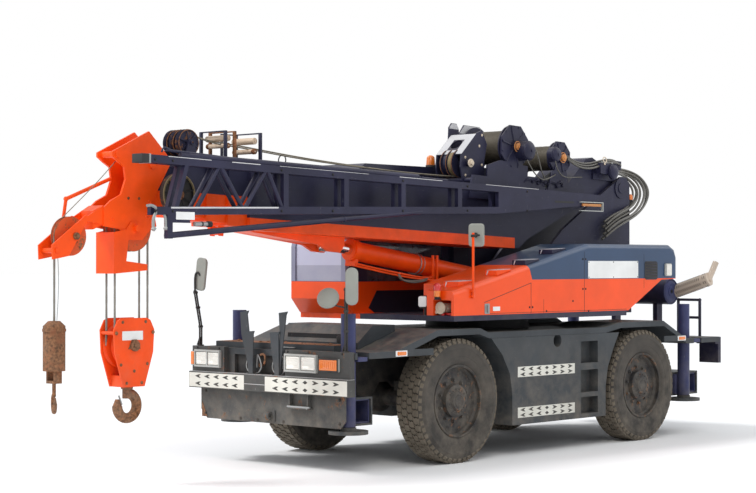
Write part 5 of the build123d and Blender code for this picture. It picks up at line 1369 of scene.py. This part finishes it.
def buildWinchHoses():
    thin = [tubePart([onBoom(1.880, 0.430, 0.180), onBoom(1.840, 0.445, 0.110),
                      onBoom(1.752, 0.425, 0.050), onBoom(1.600, 0.400, -0.010),
                      onBoom(1.480, 0.380, -0.012), onBoom(1.270, 0.350, 0.060),
                      onBoom(1.200, 0.300, 0.075)], 0.007, 3, 4),
            tubePart([onBoom(1.640, 0.350, 0.330), onBoom(1.655, 0.400, 0.250),
                      onBoom(1.632, 0.410, 0.170), onBoom(1.577, 0.400, 0.060),
                      onBoom(1.474, 0.370, 0.010), onBoom(1.400, 0.300, 0.000)], 0.007, 3, 4),
            tubePart([onBoom(1.300, 0.370, 0.260), onBoom(1.330, 0.400, 0.160),
                      onBoom(1.240, 0.395, 0.060), onBoom(1.060, 0.370, 0.040),
                      onBoom(0.860, 0.330, 0.070), onBoom(0.700, 0.300, 0.080)], 0.006, 3, 4)]
    finishPiece("winchHoses", thin, "boom", hoseGrey)
    thick = []
    for i, (drop, out) in enumerate(((0.0, 0.350), (0.030, 0.375), (-0.028, 0.330))):
        thick.append(tubePart([onBoom(1.010, out - 0.05, 0.290 - drop),
                               onBoom(0.930, out, 0.225 - drop), onBoom(0.780, out, 0.200 - drop),
                               onBoom(0.571, out, 0.214 - drop), onBoom(0.188, out - 0.02,
                               0.330 - drop * 0.6), onBoom(-0.050, out - 0.06, 0.300 - drop * 0.5),
                               onBoom(-0.090, out - 0.10, 0.270)], 0.0115, 3, 4))
    finishPiece("sideHoses", thick, "boom", hoseGrey)
    # a black sheet in the pocket behind the winch clutter: painted shade
    pocketShade = [platePart([onBoom(0.98, 0.2803, -0.085), onBoom(1.72, 0.2803, -0.085),
                         onBoom(1.72, 0.2803, 0.015), onBoom(1.42, 0.2803, 0.015),
                         onBoom(1.24, 0.2803, 0.112), onBoom(1.02, 0.2803, 0.112)], 0.001,
                        (0, 1, 0), 0)]
    finishPiece("winchPocketShade", pocketShade, "boom", matBlack)
    clutter = []
    for i in range(16):
        along, up = dice.uniform(1.00, 1.70), dice.uniform(-0.07, 0.0)
        size = dice.uniform(0.010, 0.026)
        clutter.append(rodPart(onBoom(along, 0.281, up), onBoom(along + dice.uniform(-0.02, 0.02),
                               0.281 + dice.uniform(0.010, 0.045), up), size,
                               dice.choice((6, 12)), 0.002))
    for i in range(5):
        along = 1.05 + 0.14 * i
        clutter.append(tubePart([onBoom(along, 0.290, -0.06), onBoom(along + 0.02, 0.320, -0.02),
                                 onBoom(along + 0.09, 0.325, 0.0 - 0.01 * (i % 2)),
                                 onBoom(along + 0.15, 0.300, -0.05)], 0.006, 2, 3))
    finishPiece("winchClutter", clutter, "boom", navyPaint)
    dome = [rodPart(onBoom(0.245, 0.3950, 0.168), onBoom(0.245, 0.425, 0.168), 0.086, 28, 0.004),
            ballPart(onBoom(0.245, 0.425, 0.168), 0.078, (1, 0.35, 1), 24)]
    finishPiece("valveDome", dome, "boom", navyPaint)
    caps = []
    for along in (0.20, 0.29, 0.38):
        caps.append(rodPart(onBoom(along, 0.375, 0.20), onBoom(along, 0.392, 0.20), 0.020, 8,
                            0.003))
        caps.append(rodPart(onBoom(along, 0.350, 0.262), onBoom(along, 0.350, 0.285), 0.018, 10,
                            0.003))
    for along in (0.08, 0.16, 0.24):
        caps.append(boltPart(onBoom(along, 0.2805, 0.12), (0, 1, 0), 0.010, 0.008))
    finishPiece("valveCaps", caps, "boom", greyFitting)
    snap = [ringPart(onBoom(0.400, 0.4, 0.300), (0, 1, 0.2), 0.032, 0.006, 24, 6),
            rodPart(onBoom(0.400, 0.4, 0.268), onBoom(0.400, 0.4, 0.240), 0.010, 10, 0.002)]
    finishPiece("snapHook", snap, "boom", hornBeige)


buildWoundRope()
buildWinchFronts()
buildHighlightPlates()
buildWinchHoses()
print("winches ready")

# the boom's head: rims, spokes, pins, falls and the hooks' fittings

headSettings = {"sheave": (4.94205, 2.28422), "rim": 0.2025, "groove": 0.1863,
                "aux": (5.59105, 2.20922), "auxRim": 0.1675, "auxGroove": 0.1513,
                "pitch": 0.058, "rope": 0.0072, "reels": (4.316, 3.075), "reelRim": 0.119,
                "reelSpokes": 6, "cable": (4.601, 2.589), "cableRim": 0.184,
                "cableSpokes": 9}


def buildSheaves():
    s = headSettings
    x, z = s["sheave"]
    rims, ropes = [], []
    for y in (boomLine - s["pitch"], boomLine, boomLine + s["pitch"]):
        for edge in (-0.0225, 0.0225):
            rims.append(ringPart(at(x, y + edge, z), (0, 1, 0), s["rim"], 0.0032, 52, 6))
    ax, az = s["aux"]
    for edge in (-0.020, 0.020):
        rims.append(ringPart(at(ax, boomLine + edge, az), (0, 1, 0), s["auxRim"], 0.0030, 46,
                             6))
    finishPiece("sheaveRims", rims, "boom_tip", rustyBrown)
    for y in (boomLine - s["pitch"], boomLine + s["pitch"]):
        ropes.append(ringPart(at(x, y, z), (0, 1, 0), s["groove"], s["rope"], 60, 8))
    ropes.append(ringPart(at(ax, boomLine, az), (0, 1, 0), s["auxGroove"], s["rope"], 52, 8))
    finishPiece("sheaveRopes", ropes, "boom_tip", ropeSteel)
    nuts = []
    for px, pz, y, size in ((x, z, boomLine + 0.1125, 0.030), (ax, az, boomLine + 0.1125, 0.024),
                            (*s["reels"], boomLine + 0.14, 0.018)):
        nuts.append(rodPart(at(px, y - 0.01, pz), at(px, y + 0.012, pz), size * 1.3, 22, 0.003))
        nuts.append(rodPart(at(px, y + 0.010, pz), at(px, y + 0.030, pz), size * 0.8, 6, 0.003))
    finishPiece("headNuts", nuts, "boom_tip", rustyIron)


def buildReels():
    s = headSettings
    x, z = s["reels"]
    spokes, rims = [], []
    for y in (boomLine + 0.084 + 0.0305, boomLine + 0.030, boomLine - 0.084 + 0.030):
        for i in range(s["reelSpokes"]):
            turn = math.tau * i / s["reelSpokes"] + 0.2
            bar = boxPart((-0.006, -0.003, 0.030), (0.006, 0.003, 0.104), 0.001)
            bar = turnPart(bar, math.degrees(turn), "Y", (0, 0, 0))
            spokes.append(copyPart(bar, at(x, y, z)))
            bpy.data.objects.remove(bar)
        rims.append(ringPart(at(x, y, z), (0, 1, 0), s["reelRim"], 0.0042, 40, 6))
    finishPiece("reelSpokes", spokes, "boom_tip", navyPaint)
    finishPiece("reelRims", rims, "boom_tip", rustyIron)
    x, z = s["cable"]
    out = 0.3605
    rims = [ringPart(at(x, out, z), (0, 1, 0), s["cableRim"], 0.0060, 56, 8),
            ringPart(at(x, out, z), (0, 1, 0), 0.172, 0.0030, 50, 6)]
    finishPiece("cableRims", rims, "boom_tip", ropeYellow)
    bars = []
    for i in range(s["cableSpokes"]):
        turn = math.tau * i / s["cableSpokes"] + 0.1
        bar = boxPart((-0.005, -0.003, 0.045), (0.005, 0.003, 0.172), 0.001)
        bar = turnPart(bar, math.degrees(turn), "Y", (0, 0, 0))
        bars.append(copyPart(bar, at(x, out + 0.002, z)))
        bpy.data.objects.remove(bar)
    finishPiece("cableSpokes", bars, "boom_tip", frameBlack)
    hub = [rodPart(at(x, out - 0.004, z), at(x, out + 0.012, z), 0.050, 26, 0.004),
           rodPart(at(x, out + 0.010, z), at(x, out + 0.034, z), 0.028, 20, 0.005)]
    for i in range(5):
        turn = math.tau * i / 5
        hub.append(boltPart(at(x + 0.038 * math.cos(turn), out + 0.012, z
                               + 0.038 * math.sin(turn)), (0, 1, 0), 0.006, 0.005))
    finishPiece("cableHub", hub, "boom_tip", rustyBrown)
    line = tubePart([at(5.106, 0.10, 2.884), at(5.25, 0.10, 2.745), at(5.42, 0.09, 2.590),
                     at(5.678, 0.07, 2.364)], 0.004, 2, 3)
    finishPiece("tipLine", line, "boom_tip", ropeSteel)


fallSettings = {"reach": 0.1863, "pitch": 0.058, "wire": 0.0092, "blockSheave": 1.245,
                "auxX": 5.74235, "auxLow": 1.482, "auxHigh": 2.2092, "cuts": 28, "lobes": 6,
                "lobeDepth": 0.10, "twist": 40.0}


def strand(start, end, wire):
    # a hanging steel rope with its twist: a ribbed rod turned along its length
    s = fallSettings
    start, end = Vector(start), Vector(end)
    rope = rodPart(start, end, wire, 12)
    editAll(rope)
    bpy.ops.mesh.subdivide(number_cuts=s["cuts"])
    endEdit()
    for spot in rope.data.vertices:
        around = math.atan2(spot.co.y - start.y, spot.co.x - start.x)
        ripple = math.cos(s["lobes"] * around + spot.co.z * s["twist"])
        lobe = 1.0 + s["lobeDepth"] * ripple
        spot.co.x = start.x + (spot.co.x - start.x) * lobe
        spot.co.y = start.y + (spot.co.y - start.y) * lobe
    return rope


def buildFalls():
    s = fallSettings
    x, z = headSettings["sheave"]
    falls = []
    for dx in (-s["reach"], s["reach"]):
        for y in (boomLine - s["pitch"], boomLine + s["pitch"]):
            falls.append(strand(at(x + dx, y, s["blockSheave"]), at(x + dx, y, z), s["wire"]))
    finishPiece("mainFalls", falls, "main_hook_block", fallSteel, 60)
    single = strand(at(s["auxX"], boomLine, s["auxLow"]), at(s["auxX"], boomLine, s["auxHigh"]),
                    s["wire"])
    finishPiece("auxFall", single, "aux_hook_weight", fallSteel, 60)
    chains = []
    for dy in (-0.020, 0.022):
        chains.append(tubePart([at(s["auxX"] - 0.012, boomLine + dy, 1.485),
                                at(s["auxX"] - 0.020, boomLine + dy * 1.6, 1.70),
                                at(s["auxX"] - 0.026, boomLine + dy * 1.2, 1.95),
                                at(s["auxX"] - 0.012, boomLine + dy, 2.12)], 0.0034, 2, 3))
    finishPiece("weightLines", chains, "aux_hook_weight", greyFitting)


def buildBlockParts():
    x, z = headSettings["sheave"][0], fallSettings["blockSheave"]
    face = boomLine + 0.101
    plates = [roundPlate(at(x + 0.020, face + 0.0004, 1.335), (-1, 0, 0), (0, 0, 1), 0.235, 0.080,
                         0.004, 0.002)]
    finishPiece("blockPlate", plates, "main_hook_block", blankWhite)
    boss = [platePart([at(x - 0.070, face, 1.215), at(x + 0.070, face, 1.215),
                       at(x + 0.030, face, 1.300), at(x - 0.030, face, 1.300)], 0.006, (0, 1, 0),
                      0.002),
            rodPart(at(x, face, z), at(x, face + 0.026, z), 0.050, 26, 0.004),
            rodPart(at(x, face + 0.024, z), at(x, face + 0.040, z), 0.026, 6, 0.003)]
    for turn in range(3):
        angle = math.tau * turn / 3 + math.pi / 2
        boss.append(boltPart(at(x + 0.036 * math.cos(angle), face + 0.026, z
                                + 0.036 * math.sin(angle)), (0, 1, 0), 0.006, 0.005))
    finishPiece("blockBoss", boss, "main_hook_block", rustyBrown)
    nuts = []
    for dx in (-0.2083, 0.2083):
        nuts.append(rodPart(at(x + dx, face + 0.005, 1.360), at(x + dx, face + 0.014, 1.360),
                            0.018, 6, 0.002))
    for dx, up in ((-0.13, 1.455), (0.13, 1.455), (-0.085, 0.915), (0.085, 0.915), (0.0, 1.02),
                   (-0.15, 1.08), (0.15, 1.08)):
        nuts.append(boltPart(at(x + dx, face, up), (0, 1, 0), 0.010, 0.008))
    finishPiece("blockNuts", nuts, "main_hook_block", rustyIron)
    latch = [platePart([at(x + 0.052, 0.045, 0.722), at(x + 0.066, 0.045, 0.716),
                        at(x + 0.100, 0.045, 0.800), at(x + 0.088, 0.045, 0.806)], 0.012,
                       (0, 1, 0), 0.002)]
    finishPiece("hookLatch", latch, "main_hook", greyFitting)
    collar = [rodPart(at(x, boomLine, 0.858), at(x, boomLine, 0.8785), 0.054, 26, 0.003)]
    finishPiece("hookCollar", collar, "main_hook", rustyBrown)


def buildHeadDetails():
    # rings and studs on the head's left plate
    bosses = []
    for place, size in (((4.80, 2.40), 0.022), ((4.78, 2.52), 0.016), ((5.20, 2.36), 0.016)):
        bosses.append(ringPart(at(place[0], 0.1625, place[1]), (0, 1, 0), size, size * 0.26, 24,
                               6))
    finishPiece("headBosses", bosses, "boom_tip", orangePaint)
    studs = []
    for px, pz in ((5.02, 2.55), (4.90, 2.55)):
        studs.append(boltPart(at(px, 0.1622, pz), (0, 1, 0), 0.009, 0.008))
    finishPiece("headStuds", studs, "boom_tip", rustyIron)


buildSheaves()
buildReels()
buildFalls()
buildBlockParts()
buildHeadDetails()
print("head and hooks ready")

# along the boom: roller frames, ropes, the jib's fittings and the rear hoses

hoopSettings = {"inner": (-0.104, 0.204), "post": 0.028, "top": 3.205, "low": 2.905,
                "front": 3.915, "middle": 3.800, "rear": 3.470, "frontRoll": 3.858,
                "rearRoll": 3.520}


def hoopParts(x, low):
    s = hoopSettings
    y0, y1 = s["inner"]
    w = s["post"]
    return [boxPart(at(x - 0.014, y0 - w, low), at(x + 0.014, y0, s["top"]), 0.003),
            boxPart(at(x - 0.014, y1, low), at(x + 0.014, y1 + w, s["top"]), 0.003),
            boxPart(at(x - 0.012, y0 - w, s["top"] - 0.010), at(x + 0.012, y1 + w,
                                                                s["top"] + 0.002), 0.002)]


def rollerPart(x, z, radius):
    y0, y1 = hoopSettings["inner"]
    body = rodPart(at(x, y0 + 0.006, z), at(x, y1 - 0.006, z), radius, 22, 0.004)
    return [body, rodPart(at(x, y0, z), at(x, y1, z), radius * 0.35, 12)]


def buildRollerFrames():
    s = hoopSettings
    front = hoopParts(s["front"], s["low"])
    finishPiece("frontHoop", front, "boom_section_2", navyPaint)
    middle = hoopParts(s["middle"], s["low"])
    finishPiece("middleHoop", middle, "boom_section_2", rustyBrown)
    rear = hoopParts(s["rear"], 2.922)
    rear.append(boxPart(at(3.482, -0.132, s["top"] - 0.012), at(3.660, -0.112, s["top"]), 0.002))
    rear.append(boxPart(at(3.640, -0.132, 2.930), at(3.662, -0.112, s["top"]), 0.002))
    finishPiece("rearHoop", rear, "boom", navyPaint)
    ahead, behind = s["frontRoll"], s["rearRoll"]
    rolls = rollerPart(ahead, 3.140, 0.030) + rollerPart(ahead, 3.070, 0.022)
    finishPiece("frontRollers", rolls, "boom_section_2", paleWood)
    rolls = rollerPart(behind, 3.128, 0.032) + rollerPart(behind, 3.030, 0.024)
    finishPiece("rearRollers", rolls, "boom", paleWood)
    caps = []
    for x, z, r in ((ahead, 3.070, 0.026), (behind, 3.030, 0.028)):
        for y in (-0.09, 0.17):
            caps.append(rodPart(at(x, y, z), at(x, y + 0.03, z), r, 16, 0.003))
    finishPiece("rollerCaps", caps, "boom", rustyBrown)


def buildRunningRopes():
    ropes = []
    for y, drop in ((0.030, 0.0), (0.110, 0.028)):
        ropes.append(tubePart([at(4.300, y, 3.200 - drop), at(4.05, y, 3.125 - drop),
                               at(3.860, y, 3.108 - drop), at(3.520, y, 3.086 - drop),
                               at(2.775, y, 3.010 - drop), at(1.70, y, 2.945 - drop * 0.5),
                               at(0.900, y, 2.905), at(0.500, y, 2.905)],
                              winchSettings["rope"], 3, 4))
    finishPiece("runningRopes", ropes, "boom", ropeSteel)
    loops = []
    for x, z in ((3.038, 2.972), (1.85, 2.905)):
        loops.append(ringPart(at(x, 0.07, z), (1, 0, 0), 0.050, 0.006, 24, 6))
    finishPiece("ropeLoops", loops, "boom", frameBlack)


jibFace = 0.6202                                # the stowed jib's left side


def chordTop(x):
    return 2.915 - (5.18 - x) * 0.0245


def chordLow(x):
    return 2.462 + (5.18 - x) * 0.0225


def faceStrip(x0, x1, edge, tall, y=0.6203, thick=0.0012):
    return platePart([at(x0, y, edge(x0) - tall), at(x1, y, edge(x1) - tall),
                      at(x1, y, edge(x1) - 0.002), at(x0, y, edge(x0) - 0.002)], thick,
                     (0, 1, 0), 0)


def buildJibFittings():
    rod = [rodPart(at(4.950, 0.600, 2.960), at(3.560, 0.600, 2.888), 0.011, 14),
           rodPart(at(4.950, 0.570, 2.955), at(4.40, 0.570, 2.930), 0.008, 12),
           tubePart([at(4.90, 0.60, 2.955), at(4.96, 0.60, 2.985), at(5.00, 0.60, 2.975),
                     at(5.01, 0.60, 2.940)], 0.009, 3, 3),
           rodPart(at(3.560, 0.600, 2.889), at(1.20, 0.600, 2.824), 0.010, 14)]
    for x in (4.70, 4.15, 3.70, 3.0, 2.3, 1.6):
        lift = 2.960 - (4.950 - x) * 0.0518 if x > 3.56 else chordTop(x) + 0.012
        rod.append(boxPart(at(x - 0.012, 0.585, chordTop(x) - 0.004), at(x + 0.012, 0.612,
                                                                         lift + 0.008), 0.002))
    finishPiece("chordRod", rod, "boom", navyPaint)
    # pale strips just under the chords' upper edges: painted highlights
    highlightStrips = [faceStrip(4.92, 3.62, chordLow, 0.016), faceStrip(4.95, 4.45, chordTop, 0.008),
            faceStrip(4.20, 3.85, chordTop, 0.010), faceStrip(3.60, 2.40, chordTop, 0.006),
            faceStrip(1.95, 1.30, chordTop, 0.008), faceStrip(0.60, -0.30, chordTop, 0.007)]
    finishPiece("edgeHighlights", highlightStrips, "boom", paleHighlight)
    end = [boxPart(at(5.168, 0.486, 2.840), at(5.249, 0.6235, chordTop(5.20) + 0.004), 0.004)]
    finishPiece("chordEnd", end, "boom", matBlack)
    band = [boxPart(at(5.150, 0.484, 2.838), at(5.169, 0.6245, chordTop(5.16) + 0.006), 0.002)]
    finishPiece("chordBand", band, "boom", greyFitting)
    plate = roundPlate(at(4.757, 0.6205, 2.391), (-1, 0, 0), (0, 0, 1), 0.215, 0.068, 0.004,
                       0.003, 0.0)
    finishPiece("jibPlate", plate, "boom", blankWhite)
    claw = [tubePart([at(5.104, 0.60, 2.275), at(5.110, 0.60, 2.340), at(5.085, 0.60, 2.405),
                      at(5.030, 0.60, 2.432), at(4.980, 0.60, 2.405), at(4.956, 0.60, 2.340),
                      at(4.962, 0.60, 2.280)], 0.014, 3, 3),
            rodPart(at(5.110, 0.60, 2.262), at(5.090, 0.60, 2.285), 0.020, 12, 0.003),
            rodPart(at(4.970, 0.60, 2.268), at(4.955, 0.60, 2.290), 0.020, 12, 0.003),
            tubePart([at(5.030, 0.60, 2.430), at(5.080, 0.60, 2.460), at(5.130, 0.60, 2.480),
                      at(5.175, 0.60, 2.470)], 0.013, 3, 3),
            rodPart(at(4.454, 0.605, 2.323), at(4.640, 0.605, 2.320), 0.020, 18, 0.003)]
    finishPiece("jibClaw", claw, "boom", greyFitting)
    joints = [rodPart(at(4.440, 0.605, 2.323), at(4.490, 0.605, 2.322), 0.027, 18, 0.003),
              rodPart(at(4.545, 0.605, 2.322), at(4.560, 0.605, 2.322), 0.023, 18, 0.002)]
    for x in (5.10, 4.90, 3.58, 2.9, 1.9, 0.9, -0.1):
        joints.append(boltPart(at(x, jibFace, chordLow(x) - 0.040), (0, 1, 0), 0.009, 0.008))
        joints.append(boltPart(at(x, jibFace, chordTop(x) - 0.040), (0, 1, 0), 0.009, 0.008))
    finishPiece("jibJoints", joints, "boom", frameBlack)
    # a black mark for the slot in the jib's side: painted shade
    slotShade = [roundPlate(at(-0.765, jibFace, 2.650), (-1, 0, 0), (0, 0, 1), 0.350, 0.022, 0.010,
                       0.001)]
    finishPiece("tailSlotShade", slotShade, "boom", matBlack)
    bracket = [boxPart(at(-1.456, jibFace, 2.556), at(-1.030, 0.652, 2.566), 0.002),
               boxPart(at(-1.456, jibFace, 2.652), at(-1.030, 0.652, 2.662), 0.002),
               boxPart(at(-1.456, jibFace, 2.556), at(-1.446, 0.652, 2.662), 0.002)]
    finishPiece("tailBracket", bracket, "boom", bezelGrey)
    strip = boxPart(at(-1.430, jibFace, 2.612), at(-1.080, 0.640, 2.642), 0.003)
    finishPiece("tailStrip", strip, "boom", hubOrange)


rearSettings = {"hoses": 8, "wire": 0.0135}


def buildRearHoses():
    outer = [(-2.20, 0, 3.085), (-2.45, 0, 3.115), (-2.72, 0.18, 3.105), (-2.87, 0.28, 2.945),
             (-2.85, 0.33, 2.79), (-2.62, 0.40, 2.60), (-2.28, 0.47, 2.475), (-1.92, 0.485, 2.386),
             (-1.72, 0.470, 2.250)]
    inner = [(-2.20, 0, 3.030), (-2.38, 0, 3.010), (-2.53, 0.18, 2.985), (-2.60, 0.28, 2.870),
             (-2.53, 0.34, 2.740), (-2.30, 0.41, 2.640), (-2.08, 0.47, 2.590),
             (-1.90, 0.485, 2.545), (-1.74, 0.470, 2.450)]
    tubes, ends = [], []
    for i in range(rearSettings["hoses"]):
        mix = i / (rearSettings["hoses"] - 1)
        path = []
        for k, (a, b) in enumerate(zip(outer, inner)):
            spread = 0.02 + 0.038 * i if k < 2 else a[1] + 0.016 * ((i * 3) % 5) - 0.03
            sway = dice.uniform(-0.012, 0.012) if 0 < k < 8 else 0
            path.append(at(a[0] + (b[0] - a[0]) * mix + sway, spread,
                           a[2] + (b[2] - a[2]) * mix + sway))
        tubes.append(tubePart(path, rearSettings["wire"], 3, 4))
        ends.append(rodPart(path[0], path[0] + Vector((-0.05, 0, 0.004)), 0.019, 12, 0.003))
    hoses = finishPiece("rearHoses", tubes, None, hoseGrey)
    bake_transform(hoses)
    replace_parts(hoses, "boom_hoses")
    finishPiece("hoseEnds", ends, "boom", greyFitting)


buildRollerFrames()
buildRunningRopes()
buildJibFittings()
buildRearHoses()
print("boom fittings ready")

# the exhaust's details and the cylinder's plumbing

exhaustSettings = {"x": -2.905, "z": 1.640, "end": 0.590, "pipe": (-3.02, 0.33, 1.56),
                   "tail": (-3.10, 1.00, 1.79), "shield": 0.0815, "shadeSlots": 17}


def buildExhaustDetails():
    s = exhaustSettings
    x, z, end = s["x"], s["z"], s["end"]
    discs = [rodPart(at(x, end - 0.004, z), at(x, end + 0.004, z), 0.128, 40, 0.003),
             rodPart(at(x, end, z), at(x, end + 0.010, z), 0.060, 30, 0.003),
             ringPart(at(x, end, z), (0, 1, 0), 0.148, 0.007, 48, 6),
             ringPart(at(x, end + 0.003, z), (0, 1, 0), 0.094, 0.003, 40, 6)]
    finishPiece("mufflerEnd", discs, "carrier", tubeBlue)
    finishPiece("mufflerNut", boltPart(at(x, end + 0.010, z), (0, 1, 0), 0.016, 0.012),
                "carrier", frameBlack)
    start, tail = at(*s["pipe"]), at(*s["tail"])
    along = tail - start
    # black marks for the heat shield's slots: painted shade in the openings
    slotShade = boxPart((s["shield"] - 0.003, -0.0035, -0.017), (s["shield"], 0.0035, 0.017), 0)
    shadeSlots = []
    for i in range(s["shadeSlots"]):
        share = 0.40 + 0.56 * i / (s["shadeSlots"] - 1)
        if 0.86 < share < 0.90:
            continue
        for k in range(8):
            turn = math.tau * (k + 0.5) / 8
            shadeSlots.append(copyPart(slotShade, (0, along.length * share, 0), ((0, 0, 0), turn, "Y")))
    bpy.data.objects.remove(slotShade)
    shadeSlots = joinAll(shadeSlots)
    shadeSlots.matrix_world = (Matrix.Translation(start)
                          @ along.to_track_quat("Y", "Z").to_matrix().to_4x4())
    settle(shadeSlots)
    finishPiece("shieldSlotShades", shadeSlots, "carrier", matBlack)


plumbSettings = {"side": 0.186, "wire": 0.0085}


def buildCylinderPlumbing():
    y, wire = plumbSettings["side"], plumbSettings["wire"]
    uprights = [boxPart(at(0.935, y - 0.010, 1.850), at(0.962, y + 0.010, 2.040), 0.003),
                boxPart(at(0.868, y - 0.010, 1.785), at(0.895, y + 0.010, 2.040), 0.003),
                boxPart(at(0.868, 0.150, 1.785), at(1.000, y + 0.006, 1.805), 0.003)]
    for place in ((0.948, 2.040), (0.881, 2.040)):
        uprights.append(rodPart(at(place[0], y, place[1] - 0.004),
                                at(place[0], y, place[1] + 0.018), 0.017, 6, 0.002))
    finishPiece("cylinderStand", uprights, "luff_barrel", orangePaint)
    lines = [tubePart([at(2.060, 0.120, 1.975), at(1.700, 0.176, 1.905), at(1.350, y, 1.853),
                       at(1.060, y, 1.822), at(0.960, y - 0.006, 1.828)], wire, 3, 3),
             tubePart([at(2.060, 0.120, 1.950), at(1.700, 0.176, 1.880), at(1.350, y, 1.829),
                       at(1.060, y, 1.803), at(0.960, y - 0.006, 1.800)], wire, 3, 3)]
    finishPiece("cylinderLines", lines, "luff_barrel", orangePaint)
    hoses = [tubePart([at(1.480, y, 1.865), at(1.500, y + 0.012, 1.815), at(1.330, y + 0.014,
                       1.786), at(1.120, y + 0.010, 1.796), at(1.040, y, 1.815)], 0.011, 3, 3),
             tubePart([at(1.460, y, 1.850), at(1.470, y + 0.020, 1.800), at(1.300, y + 0.024,
                       1.772), at(1.130, y + 0.018, 1.784), at(1.050, y, 1.800)], 0.009, 3, 3)]
    finishPiece("cylinderHoses", hoses, "luff_barrel", hoseGrey)
    clamps = [ringPart(onRam(2.015, 0, 0), onRam(1, 0, 0) - onRam(0, 0, 0), 0.1085, 0.006, 48, 6),
              ringPart(onRam(1.960, 0, 0), onRam(1, 0, 0) - onRam(0, 0, 0), 0.1085, 0.004, 48, 6)]
    finishPiece("glandRings", clamps, "luff_barrel", greyFitting)


buildExhaustDetails()
buildCylinderPlumbing()
print("exhaust and plumbing ready")

# floor, light and camera

floorSettings = {"size": 600.0, "cuts": 6, "colour": (0.97, 0.97, 0.97, 1)}
worldSettings = {"soft": (0.93, 0.96, 1.0, 1), "softStrength": 0.68, "seen": (1, 1, 1, 1)}
lightSettings = {"keyLamp": ((9.0, 9.5, 12.0), 620.0, 6.0, (1.0, 0.97, 0.93)),
                 "fillLamp": ((13.0, -7.0, 6.0), 240.0, 8.0, (0.95, 0.97, 1.0)),
                 "backLamp": ((-10.0, 6.0, 9.0), 260.0, 7.0, (1.0, 1.0, 1.0))}
sunSettings = {"energy": 1.7, "angle": 18, "turn": (32, 24, 20)}
cameraSettings = {"lens": 85.75, "sensor": 36.0, "far": 300.0, "yaw": 222.713, "pitch": 0.534,
                  "place": (15.208, 12.568, 1.975)}


def buildFloor():
    clearPick()
    bpy.ops.mesh.primitive_plane_add(size=floorSettings["size"], location=(0, 0, 0))
    obj = bpy.context.active_object
    editAll(obj)
    bpy.ops.mesh.subdivide(number_cuts=floorSettings["cuts"])
    endEdit()
    obj.name = "floor"
    material, tree, shader = newMaterial("paleFloor")
    wire(tree, shader, {"Base Color": floorSettings["colour"], "Roughness": 0.9,
                        "Specular IOR Level": 0.1})
    obj.data.materials.append(material)


def buildWorld():
    world = bpy.data.worlds.new("paleStudio")
    bpy.context.scene.world = world
    world.use_nodes = True
    tree = world.node_tree
    tree.nodes.clear()
    path = tree.nodes.new("ShaderNodeLightPath")
    seen = anyOf(tree, [path.outputs["Is " + kind + " Ray"]
                        for kind in ("Camera", "Glossy", "Transmission")])
    soft = put(tree, "ShaderNodeBackground", {"Color": worldSettings["soft"],
                                              "Strength": worldSettings["softStrength"]})
    white = put(tree, "ShaderNodeBackground", {"Color": worldSettings["seen"], "Strength": 1.0})
    mix = put(tree, "ShaderNodeMixShader", {0: seen, 1: soft.outputs[0], 2: white.outputs[0]})
    put(tree, "ShaderNodeOutputWorld", {"Surface": mix.outputs[0]})


def buildLamps():
    for name, (place, power, size, colour) in lightSettings.items():
        lamp = bpy.data.lights.new(name, "AREA")
        lamp.energy = power
        lamp.size = size
        lamp.color = colour
        obj = bpy.data.objects.new(name, lamp)
        bpy.context.collection.objects.link(obj)
        obj.location = place
        obj.rotation_euler = (Vector((0.5, 0, 1.4)) - Vector(place)).to_track_quat(
            "-Z", "Y").to_euler()
    sun = bpy.data.lights.new("softSun", "SUN")
    sun.energy = sunSettings["energy"]
    sun.angle = math.radians(sunSettings["angle"])
    obj = bpy.data.objects.new("softSun", sun)
    bpy.context.collection.objects.link(obj)
    obj.rotation_euler = [math.radians(angle) for angle in sunSettings["turn"]]


def buildCamera():
    s = cameraSettings
    data = bpy.data.cameras.new("camera")
    data.sensor_width = s["sensor"]
    data.lens = s["lens"]
    data.clip_end = s["far"]
    obj = bpy.data.objects.new("camera", data)
    bpy.context.collection.objects.link(obj)
    obj.location = at(*s["place"])
    yaw, pitch = math.radians(s["yaw"]), math.radians(s["pitch"])
    look = Vector((math.cos(yaw) * math.cos(pitch), math.sin(yaw) * math.cos(pitch),
                   math.sin(pitch)))
    obj.rotation_euler = look.to_track_quat("-Z", "Y").to_euler()
    bpy.context.scene.camera = obj


buildFloor()
buildWorld()
buildLamps()
buildCamera()
bpy.context.scene.view_settings.view_transform = "Standard"
print("stage, lights and camera ready")
